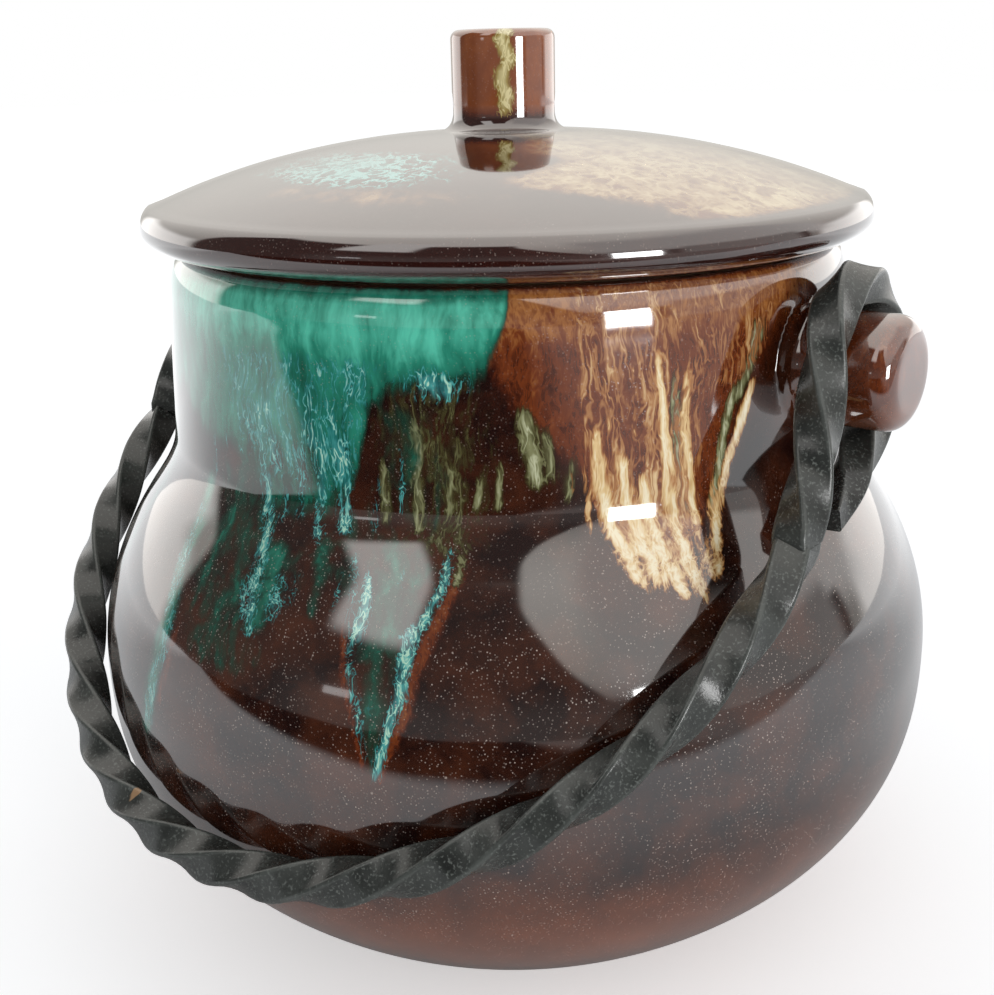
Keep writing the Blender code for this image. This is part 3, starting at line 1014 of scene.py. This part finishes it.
    def sweep(self) -> tuple[Piece, np.ndarray, np.ndarray]:
        """Sweep the section along the centre line, twisting it.

        Returns:
            The piece, the centre line's points and their distances along it.
        """
        places, along = self.centre_line()
        length = along[-1]
        section = self.section()
        data = bpy.data.curves.new("bail", "CURVE")
        data.dimensions = "3D"
        data.twist_mode = "MINIMUM"
        data.bevel_mode = "OBJECT"
        data.bevel_object = section
        data.use_fill_caps = True
        line = data.splines.new("POLY")
        line.points.add(len(places) - 1)
        taper = smooth_step(np.minimum(along, length - along) / self.taper_length)
        offset = along - length / 2.0
        extra = self.middle_share * self.middle_reach * np.arctan(offset / self.middle_reach)
        twist = self.middle_angle - math.tau * (offset + extra) / self.turn_length
        for index, place in enumerate(places):
            line.points[index].co = (place[0], place[1], place[2], 1.0)
            line.points[index].radius = self.tip_share + (1.0 - self.tip_share) * taper[index]
            line.points[index].tilt = twist[index]
        sweep = add_object("bail sweep", data)
        mesh = final_mesh(sweep)
        bpy.data.objects.remove(sweep, do_unlink=True)
        bpy.data.objects.remove(section, do_unlink=True)
        shape = bmesh.new()
        shape.from_mesh(mesh)
        bmesh.ops.remove_doubles(shape, verts=shape.verts, dist=self.merge_gap)
        bmesh.ops.recalc_face_normals(shape, faces=shape.faces)
        piece = piece_from("bail_twisted", shape)
        piece.data.set_sharp_from_angle(angle=self.sharp_angle)
        return piece, places, along

    def mark_chips_and_ridge_highlights(self, piece: Piece, line: np.ndarray, along: np.ndarray) -> None:
        """Mark the painted highlights along the ridges, and the chips in the paint.

        Args:
            piece: The bail's piece.
            line: The points of its centre line.
            along: How far along the bar each of them lies.
        """
        places = corners_of(piece)
        nearest = np.zeros(len(places), dtype=int)
        block = 2000
        for start in range(0, len(places), block):
            spokes = places[start : start + block, None, :] - line[None]
            nearest[start : start + block] = (spokes**2).sum(axis=2).argmin(axis=1)
        spoke = places - line[nearest]
        radius = np.linalg.norm(spoke, axis=1) / MM
        half = self.side / 2.0 / MM
        # The ridges are painted pale: a painted highlight along the bar's edges.
        paint(piece, "ridge_highlight_mask", climb(radius, half * self.ridge_start, half * self.ridge_width))
        travel = along[nearest] / MM
        facing = spoke @ np.array((math.sin(VIEW_SIDE), -math.cos(VIEW_SIDE), 0.35)) / MM / half
        sideways = spoke @ np.array((math.cos(VIEW_SIDE), math.sin(VIEW_SIDE), 0.0)) / MM
        for chip in self.chips:
            mark = bell(travel, chip.travel, chip.length) * bell(sideways, chip.offset, chip.width)
            paint(piece, chip.name, mark * climb(facing, 0.3, 0.4))

    def build(self) -> Piece:
        """Build the bail and dress it."""
        piece, line, along = self.sweep()
        self.mark_chips_and_ridge_highlights(piece, line, along)
        piece.data.materials.clear()
        piece.data.materials.append(make_paint(self.finish))
        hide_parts("bail")
        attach(piece, "bail")
        return piece


def lay_layer(tree: Tree, layer: GlazeLayer, under: Socket, flow: Node) -> Socket:
    """Lay one layer of glaze over a colour.

    Args:
        tree: The material's nodes.
        layer: The layer.
        under: The colour below.
        flow: Object coordinates, bent as the glaze flowed.

    Returns:
        The new colour.
    """
    across = 1.0 / layer.grain
    seed = (layer.seed, layer.seed, layer.seed)
    scale = (across, across, across / layer.stretch)
    streak = {"Vector": add_node(tree, "Mapping", {"Vector": flow, "Location": seed, "Scale": scale})}
    streaks = add_node(tree, "TexNoise", {**streak, "Scale": 1.0, "Detail": 3.0, "Roughness": 0.6})
    cover = add_node(tree, "Attribute", attribute_name=layer.attribute).outputs["Fac"]
    value = add_node(tree, "Math", {0: streaks, 1: layer.ragged, 2: cover}, operation="MULTIPLY_ADD")
    if layer.stroke is Stroke.FLAME:
        # A vein runs wherever a finer noise crosses its middle.
        fine = {**streak, "Scale": VEIN_FINENESS, "Detail": 2.0, "Roughness": 0.5, "Distortion": 0.4}
        middle = add_node(tree, "Math", {0: add_node(tree, "TexNoise", fine), 1: 0.5}, operation="SUBTRACT")
        middle = add_node(tree, "Math", {0: middle}, operation="ABSOLUTE")
        width = {"Value": middle, "From Max": layer.flame_width, "To Min": layer.flame, "To Max": 0.0}
        vein = add_node(tree, "MapRange", width, interpolation_type="SMOOTHSTEP")
        thin, thick = VEIN_COVER
        near = add_node(tree, "MapRange", {"Value": cover, "From Min": thin, "From Max": thick})
        value = add_node(tree, "Math", {0: vein, 1: near, 2: value}, operation="MULTIPLY_ADD")
    half = layer.ragged / 2.0
    start = {"Value": value, "From Min": layer.low + half}
    amount = {**start, "From Max": layer.high + half}
    amount = add_node(tree, "MapRange", amount, interpolation_type="SMOOTHSTEP")
    depth = add_node(tree, "MapRange", {**start, "From Max": FULL_DEPTH + half})
    ramp = add_node(tree, "ValToRGB", {"Fac": depth})
    stops = ramp.color_ramp.elements
    stops[0].color = linear(layer.colours[0])
    stops[1].color = linear(layer.colours[-1])
    for index, code in enumerate(layer.colours[1:-1], start=1):
        stops.new(index / (len(layer.colours) - 1)).color = linear(code)
    return add_node(tree, "Mix", {0: amount, 6: under, 7: ramp}, data_type="RGBA").outputs[2]


def make_glaze(finish: GlazeFinish) -> bpy.types.Material:
    """Make a glaze: the ground, the poured layers, the dust on them, and bare clay below.

    Args:
        finish: The glaze.

    Returns:
        The material.
    """
    material, tree, shader = new_material(finish.name)
    place = add_node(tree, "TexCoord").outputs["Object"]
    flow = place
    for grain, reach in finish.bends:
        bend = add_node(tree, "TexNoise", {"Vector": place, "Scale": 1.0 / grain, "Detail": 1.0})
        shift = {0: bend.outputs["Color"], 1: (0.5, 0.5, 0.5)}
        shift = add_node(tree, "VectorMath", shift, operation="SUBTRACT")
        bent = {0: shift, 1: (reach, reach, 2.0 * reach), 2: flow}
        flow = add_node(tree, "VectorMath", bent, operation="MULTIPLY_ADD")
    # Ground: dark where the glaze is thick, reddish brown low on the belly and on the lugs.
    mottle = {"Vector": flow, "Scale": 1.0 / finish.ground_grain, "Detail": 5.0, "Roughness": 0.6}
    warm = add_node(tree, "Attribute", attribute_name="warm").outputs["Fac"]
    lift = {0: warm, 1: finish.warmth, 2: add_node(tree, "TexNoise", mottle)}
    lift = add_node(tree, "Math", lift, operation="MULTIPLY_ADD")
    start, end = finish.ground_span
    tone = add_node(tree, "MapRange", {"Value": lift, "From Min": start, "From Max": end})
    ground = {0: tone, 6: linear(finish.ground_dark), 7: linear(finish.ground_light)}
    colour = add_node(tree, "Mix", ground, data_type="RGBA").outputs[2]
    for layer in finish.layers:
        colour = lay_layer(tree, layer, colour, flow)
    # Dust: a speck in a share of the cells, thicker on the belly than on the neck, in drifts.
    dust = 0.0
    for spacing, radius, share, strength in finish.specks:
        cells = add_node(tree, "TexVoronoi", {"Vector": place, "Scale": 1.0 / spacing})
        size = radius / spacing
        span = {"From Min": 0.5 * size, "From Max": size, "To Min": strength, "To Max": 0.0}
        speck = add_node(tree, "MapRange", {"Value": cells, **span})
        draw = add_node(tree, "SeparateColor", {"Color": cells.outputs["Color"]})
        kept = add_node(tree, "MapRange", {"Value": draw, "From Min": 1.0 - share, "From Max": 1.0})
        speck = add_node(tree, "Math", {0: speck, 1: kept}, operation="MULTIPLY")
        dust = add_node(tree, "Math", {0: speck, 1: dust}, operation="MAXIMUM")
    level = add_node(tree, "SeparateXYZ", {0: place}).outputs["Z"]
    drift = add_node(tree, "TexNoise", {"Vector": place, "Scale": 1.0 / finish.drift, "Detail": 3.0})
    for value, (start, end), first, last in (
        (level, finish.dust_span, 1.0, finish.dust_above),
        (drift, finish.drift_span, finish.drift_least, 1.0),
    ):
        share = {"Value": value, "From Min": start, "From Max": end, "To Min": first, "To Max": last}
        dust = add_node(tree, "Math", {0: dust, 1: add_node(tree, "MapRange", share)}, operation="MULTIPLY")
    bare = add_node(tree, "Attribute", attribute_name="bare").outputs["Fac"]
    for share, code in ((dust, finish.dust), (bare, finish.clay)):
        colour = add_node(tree, "Mix", {0: share, 6: colour, 7: linear(code)}, data_type="RGBA").outputs[2]
    matt = add_node(tree, "Math", {0: dust, 1: bare}, operation="MAXIMUM")
    rough = {"Value": matt, "To Min": finish.roughness, "To Max": finish.bare_roughness}
    # The surface ripples a little, as a run glaze does, which bends its reflections.
    wave = {"Vector": place, "Scale": 1.0 / finish.ripple, "Detail": 1.0, "Roughness": 0.4}
    wave = {"Height": add_node(tree, "TexNoise", wave), "Strength": finish.ripple_strength}
    bump = add_node(tree, "Bump", {**wave, "Distance": finish.ripple_depth})
    inputs = {
        "Base Color": colour,
        "Roughness": add_node(tree, "MapRange", rough),
        "Coat Weight": add_node(tree, "MapRange", {"Value": bare, "To Min": 1.0, "To Max": 0.0}),
        "IOR": finish.index,
        "Coat IOR": finish.coat_index,
        "Coat Roughness": finish.coat_roughness,
        "Normal": bump,
        "Coat Normal": bump,
    }
    fill(tree, shader, inputs)
    return material


def make_paint(finish: PaintFinish) -> bpy.types.Material:
    """Make the bail's paint: uneven black, grit, a painted highlight on the ridges, and chips.

    Args:
        finish: The paint.

    Returns:
        The material.
    """
    material, tree, shader = new_material(finish.name)
    place = add_node(tree, "TexCoord").outputs["Object"]
    cloud = add_node(tree, "TexNoise", {"Vector": place, "Scale": 1.0 / finish.cloud, "Detail": 4.0})
    grit = add_node(tree, "TexNoise", {"Vector": place, "Scale": 1.0 / finish.grit, "Detail": 2.0})
    tone = add_node(tree, "MapRange", {"Value": cloud, "From Min": 0.3, "From Max": 0.8})
    dusty = add_node(tree, "MapRange", {"Value": grit, "From Min": 0.56, "From Max": 0.7, "To Max": 0.4})
    # A painted highlight: the ridges are painted pale, where their edges would catch the light.
    ridge_highlight_mask = add_node(tree, "Attribute", attribute_name="ridge_highlight_mask").outputs["Fac"]
    ridge_highlight = add_node(tree, "Math", {0: ridge_highlight_mask, 1: cloud}, operation="MULTIPLY")
    coats = [(tone, finish.grey), (dusty, finish.dust), (ridge_highlight, finish.ridge_highlight)]
    start, end = finish.chip_edge
    for name, code in (("cream_chip", finish.cream_chip), ("tan_chip", finish.tan_chip)):
        mark = add_node(tree, "Attribute", attribute_name=name).outputs["Fac"]
        torn = add_node(tree, "Math", {0: cloud, 1: 0.6, 2: mark}, operation="MULTIPLY_ADD")
        chip = add_node(tree, "MapRange", {"Value": torn, "From Min": start, "From Max": end})
        coats.append((chip, code))
    colour = linear(finish.black)
    for share, code in coats:
        colour = add_node(tree, "Mix", {0: share, 6: colour, 7: linear(code)}, data_type="RGBA").outputs[2]
    satin, dull = finish.roughness
    gloss = {"Value": cloud, "From Min": 0.35, "From Max": 0.7, "To Min": satin, "To Max": dull}
    bump = add_node(tree, "Bump", {"Height": grit, "Strength": 0.25, "Distance": finish.grit_depth})
    dents = {"Height": cloud, "Strength": 0.3, "Distance": finish.dent_depth, "Normal": bump}
    inputs = {
        "Base Color": colour,
        "Roughness": add_node(tree, "MapRange", gloss),
        "Normal": add_node(tree, "Bump", dents),
    }
    fill(tree, shader, inputs)
    return material


@dataclass(frozen=True)
class RoomPatch:
    """A patch of the room as the gloss sees it, by angles to the right of the camera and up."""

    left: float
    right: float
    low: float
    high: float
    high_right: float
    glow: float
    soft: float = 0.03


@dataclass
class Studio:
    """A white floor, a pale surround and soft lamps, with the camera at the photo's place."""

    distance: float = 298.3 * MM
    height: float = 187.4 * MM
    side: float = math.radians(37.56)
    pan: float = math.radians(0.648)
    tilt: float = math.radians(18.258)
    roll: float = math.radians(-1.307)
    focal_pixels: float = 1328.7
    frame_pixels: float = 995.0
    sensor: float = 36.0
    nearest: float = 10.0 * MM
    floor_size: float = 12.0
    floor_lift: float = 0.42
    lamp_distance: float = 1.6
    lamp_aim: float = 0.11
    white: str = "ffffff"
    paper: str = "f7f7f7"
    gloom: str = "fff4f0"
    surround: str = "d4d6d8"
    ceiling_rise: Point = (0.1, 0.85)
    wall_light: tuple[float, ...] = (0.66, 0.64, 0.6, 1.0)
    ceiling_light: tuple[float, ...] = (1.9, 1.81, 1.7, 1.0)
    patch_tint: tuple[float, ...] = (1.0, 0.97, 0.94)
    patches: tuple[RoomPatch, ...] = (
        RoomPatch(-150.0, -108.0, -90.0, 15.0, 15.0, 2.0, 0.06),
        RoomPatch(106.0, 152.0, -90.0, 15.0, 15.0, 2.1, 0.06),
        RoomPatch(24.0, 112.0, 8.0, 56.0, 56.0, 1.25, 0.1),
        RoomPatch(-106.0, 3.0, -90.0, 52.0, 52.0, 0.09),
        RoomPatch(0.0, 24.0, -90.0, 50.0, 12.0, 0.09),
        RoomPatch(20.0, 100.0, -90.0, 12.0, 12.0, 0.14),
        RoomPatch(-60.0, 50.0, -90.0, 13.0, 13.0, 0.2, 0.14),
        RoomPatch(52.0, 96.0, -20.0, 17.0, 17.0, 0.6, 0.05),
        RoomPatch(-56.0, -30.0, 30.0, 62.0, 62.0, 2.0, 0.04),
    )

    def toward(self, azimuth: float, elevation: float) -> Vector:
        """Direction by its angles, in degrees, to the right of the camera and up."""
        turn = self.side + math.radians(azimuth)
        rise = math.radians(elevation)
        level = math.cos(rise)
        return Vector((math.sin(turn) * level, -math.cos(turn) * level, math.sin(rise)))

    def add_camera(self) -> None:
        """Set the camera where the photograph was taken from."""
        front = self.toward(0.0, 0.0)
        right = self.toward(90.0, 0.0)
        aim = -front * math.cos(self.tilt) * math.cos(self.pan)
        aim -= right * math.cos(self.tilt) * math.sin(self.pan)
        aim -= UP * math.sin(self.tilt)
        across = aim.cross(UP).normalized()
        rise = across.cross(aim).normalized()
        level = across * math.cos(self.roll) + rise * math.sin(self.roll)
        upright = rise * math.cos(self.roll) - across * math.sin(self.roll)
        data = bpy.data.cameras.new("photo camera")
        data.sensor_width = self.sensor
        data.lens = self.focal_pixels / self.frame_pixels * self.sensor
        data.clip_start = self.nearest
        camera = add_object("photo camera", data)
        turned = Matrix((level, upright, -aim)).transposed().to_4x4()
        camera.matrix_world = Matrix.Translation(front * self.distance + UP * self.height) @ turned
        bpy.context.scene.camera = camera

    def add_floor(self) -> None:
        """Lay the floor: white to the camera, with a far edge that only gloss sees as dark, and a painted
        shadow round the pot that only gloss sees.
        """
        shape = bmesh.new()
        bmesh.ops.create_grid(shape, x_segments=1, y_segments=1, size=self.floor_size / 2.0)
        floor = piece_from("floor", shape)
        # Matt white paper: even and bright, with no sheen of its own.
        material, tree, shader = new_material("matt white paper")
        place = add_node(tree, "TexCoord").outputs["Object"]
        ahead, aside = self.spans(tree, place)
        radius = add_node(tree, "VectorMath", {0: place}, operation="LENGTH").outputs["Value"]
        # Each fade: what it is measured on, where it starts and ends, and its amounts there.
        fades = {}
        for name, value, start, end, first, last, kind in (
            ("edge", ahead, 0.25, 0.34, 0.0, 1.0, "SMOOTHSTEP"),
            # A painted shadow of the pot, which the gloss sees on the floor close to it.
            ("painted_contact_shadow", radius, 0.1, 0.2, 0.45, 0.0, "SMOOTHSTEP"),
            ("gloom", aside, 0.12, 0.4, 0.02, 0.42, "LINEAR"),
            ("sunny", ahead, -0.4, -0.12, 0.6, 0.1, "LINEAR"),
            ("away", radius, 0.18, 0.45, 0.0, 1.0, "SMOOTHSTEP"),
        ):
            span = {"Value": value, "From Min": start, "From Max": end, "To Min": first, "To Max": last}
            fades[name] = add_node(tree, "MapRange", span, interpolation_type=kind)
        rays = add_node(tree, "LightPath")
        glossy = rays.outputs["Is Glossy Ray"]
        # The gloss sees a dark floor past its near edge, and a painted shadow of the pot close to it.
        hidden = add_node(tree, "Math", {0: fades["edge"], 1: fades["painted_contact_shadow"]}, operation="MAXIMUM")
        hidden = add_node(tree, "Math", {0: hidden, 1: glossy}, operation="MULTIPLY")
        dark = add_node(tree, "Emission", {"Color": linear(self.gloom), "Strength": fades["gloom"]})
        both = add_node(tree, "MixShader", {0: hidden, 1: shader, 2: dark})
        fill(tree, tree.nodes["Material Output"], {"Surface": both})
        # It sees a little glare on the floor behind, and the camera sees the floor as white.
        glare = add_node(tree, "Math", {0: fades["sunny"], 1: fades["away"]}, operation="MULTIPLY")
        glare = add_node(tree, "Math", {0: glare, 1: glossy}, operation="MULTIPLY")
        lift = {0: rays.outputs["Is Camera Ray"], 1: self.floor_lift, 2: glare}
        inputs = {
            "Base Color": linear(self.paper),
            "Roughness": 0.9,
            "Specular IOR Level": 0.0,
            "Emission Color": linear(self.white),
            "Emission Strength": add_node(tree, "Math", lift, operation="MULTIPLY_ADD"),
        }
        fill(tree, shader, inputs)
        floor.data.materials.append(material)

    def spans(self, tree: Tree, place: Socket) -> list[Socket]:
        """Measure a place or direction towards the camera and to its right."""
        found = []
        for way in (self.toward(0.0, 0.0), self.toward(90.0, 0.0)):
            product = add_node(tree, "VectorMath", {0: place, 1: tuple(way)}, operation="DOT_PRODUCT")
            found.append(product.outputs["Value"])
        return found

    def add_world(self) -> None:
        """Surround the pot: white to the camera, a darker room in front for gloss."""
        world = bpy.data.worlds.new("studio")
        bpy.context.scene.world = world
        world.use_nodes = True
        tree = world.node_tree
        way = add_node(tree, "TexCoord").outputs["Generated"]
        ahead, aside = self.spans(tree, way)
        turn = add_node(tree, "Math", {0: aside, 1: ahead}, operation="ARCTAN2")
        rise = add_node(tree, "SeparateXYZ", {0: way}).outputs["Z"]
        start, end = self.ceiling_rise
        overhead = add_node(tree, "MapRange", {"Value": rise, "From Min": start, "From Max": end})
        room = {0: overhead, 6: self.wall_light, 7: self.ceiling_light}
        light = add_node(tree, "Mix", room, data_type="RGBA").outputs[2]
        for patch in self.patches:
            mask = self.patch_mask(tree, turn, rise, patch)
            glow = (*(patch.glow * part for part in self.patch_tint), 1.0)
            light = add_node(tree, "Mix", {0: mask, 6: light, 7: glow}, data_type="RGBA").outputs[2]
        rays = add_node(tree, "LightPath").outputs
        soft = {0: rays["Is Glossy Ray"], 6: linear(self.surround), 7: light}
        soft = add_node(tree, "Mix", soft, data_type="RGBA").outputs[2]
        seen = {0: rays["Is Camera Ray"], 6: soft, 7: linear(self.white)}
        seen = add_node(tree, "Mix", seen, data_type="RGBA").outputs[2]
        fill(tree, tree.nodes["Background"], {"Color": seen, "Strength": 1.0})

    @staticmethod
    def patch_mask(tree: Tree, turn: Node, rise: Socket, patch: RoomPatch) -> Node:
        """Mask one patch of the room.

        Args:
            tree: The world's nodes.
            turn: Angle to the right of the camera.
            rise: Sine of the angle upwards.
            patch: The patch.

        Returns:
            The node that gives the mask.
        """
        left = math.radians(patch.left)
        right = math.radians(patch.right)
        angles = (patch.low, patch.high, patch.high_right)
        low, high, high_right = (math.sin(math.radians(angle)) for angle in angles)
        slope = (high_right - high) / (right - left)
        lean = add_node(tree, "Math", {0: turn, 1: -slope, 2: slope * left}, operation="MULTIPLY_ADD")
        level = add_node(tree, "Math", {0: rise, 1: lean}, operation="ADD")
        mask = None
        for value, limit, soft in (
            (turn, left, patch.soft),
            (turn, right, -patch.soft),
            (rise, low, patch.soft),
            (level, high, -patch.soft),
        ):
            span = {"Value": value, "From Min": limit - soft, "From Max": limit + soft}
            edge = add_node(tree, "MapRange", span, interpolation_type="SMOOTHSTEP")
            if mask is not None:
                edge = add_node(tree, "Math", {0: mask, 1: edge}, operation="MULTIPLY")
            mask = edge
        return mask

    def add_lamp(self, name: str, azimuth: float, elevation: float, size: Point, watts: float) -> None:
        """Hang a soft lamp that faces the pot.

        Args:
            name: The lamp's name.
            azimuth: Degrees to the right of the camera.
            elevation: Degrees up.
            size: Its width and height.
            watts: Its power.
        """
        data = bpy.data.lights.new(name, "AREA")
        data.shape = "RECTANGLE"
        data.size = size[0]
        data.size_y = size[1]
        data.energy = watts
        lamp = add_object(name, data)
        way = self.toward(azimuth, elevation)
        lamp.location = way * self.lamp_distance + UP * self.lamp_aim
        lamp.rotation_euler = way.to_track_quat("Z", "Y").to_euler()

    def build(self) -> None:
        """Set up the camera, the floor, the surround and the lamps."""
        self.add_camera()
        self.add_floor()
        self.add_world()
        self.add_lamp("window right", 37.0, 4.5, (0.42, 0.46), 9.0)
        self.add_lamp("window left", -45.0, 9.0, (0.2, 0.07), 0.07)
        bpy.context.scene.view_settings.view_transform = "Standard"


# The pot: thick and glassy, near black where it pooled, with pours that break into flames.
POT_GLAZE = GlazeFinish(
    name="poured oxblood lead glaze with turquoise and cream runs",
    ground_dark="1e0906",
    ground_light="8c4a2a",
    ground_grain=14.0 * MM,
    layers=(
        GlazeLayer(
            "rust", ("38130a", "50200d", "733618", "a86c38"), 2.0 * MM, 2.6, 0.8, 0.2, 0.7,
            stroke=Stroke.FLAME, flame=0.16, flame_width=0.14, seed=3.0,
        ),
        GlazeLayer(
            "olive", ("241c0e", "454023", "868760", "ccceac"), 2.0 * MM, 6.0, 1.0, 0.2, 0.55,
            stroke=Stroke.FLAME, flame=0.3, flame_width=0.1, seed=15.0,
        ),
        GlazeLayer(
            "cream", ("4a1d0c", "783a1c", "b07a48", "e4c594"), 2.2 * MM, 7.0, 1.3, 0.35, 0.8,
            stroke=Stroke.FLAME, flame=0.34, flame_width=0.13, seed=7.0,
        ),
        GlazeLayer(
            "gold", ("7a4420", "b87c42", "e6c68e", "f8eac8"), 1.8 * MM, 9.0, 1.3, 0.36, 0.8,
            stroke=Stroke.FLAME, flame=0.2, flame_width=0.12, seed=11.0,
        ),
        GlazeLayer(
            "teal", ("0c2a21", "124a3a", "2a8a72", "5ecfb2"), 2.8 * MM, 4.0, 0.9, 0.15, 0.6, seed=19.0
        ),
        GlazeLayer(
            "wisp", ("1c6a60", "2a8488", "54aea8", "b8e0c6"), 1.6 * MM, 5.0, 1.3, 0.5, 1.0,
            stroke=Stroke.FLAME, flame=0.34, flame_width=0.065, seed=23.0,
        ),
    ),
)

# The lid: the same glaze laid flat, so its cream spreads to a net and its turquoise to flecks.
LID_GLAZE = GlazeFinish(
    name="poured brown lead glaze with a cream network",
    ground_dark="2a0d09",
    ground_light="54281c",
    ground_grain=16.0 * MM,
    layers=(
        GlazeLayer(
            "rust", ("3c170c", "6b2f14", "8f4c24", "b5793f"), 5.0 * MM, 1.4, 0.6, 0.25, 0.6, seed=5.0
        ),
        GlazeLayer(
            "cream", ("4e2a16", "7c5232", "ac875c", "dcc494"), 6.0 * MM, 1.0, 1.1, 0.2, 0.8,
            stroke=Stroke.FLAME, flame=0.34, flame_width=0.2, seed=9.0,
        ),
        GlazeLayer(
            "teal", ("1f6f68", "48aca4", "90dcd2"), 4.4 * MM, 1.0, 0.9, 0.72, 1.2,
            stroke=Stroke.FLAME, flame=0.42, flame_width=0.1, seed=17.0,
        ),
        GlazeLayer(
            "stripe", ("6a4a1c", "a08a48", "e2d6a0"), 1.6 * MM, 4.0, 0.7, 0.35, 0.7,
            stroke=Stroke.FLAME, flame=0.4, seed=21.0,
        ),
    ),
)


def main() -> None:
    """Build the camera, the stage and the three pieces, and log the nodes and each piece's faces."""
    logging.basicConfig(level=logging.INFO, format="%(name)s: %(message)s")
    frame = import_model()
    log.info("nodes to dress: %s", ", ".join(sorted(frame["nodes"])))
    Studio().build()
    pot = Pot(POT_GLAZE)
    for piece in (pot.build(), Lid(LID_GLAZE, pot).build(), Bail(PaintFinish(), pot).build()):
        log.info("%s: %d faces", piece.name, len(piece.data.polygons))


if __name__ == "__main__":
    main()
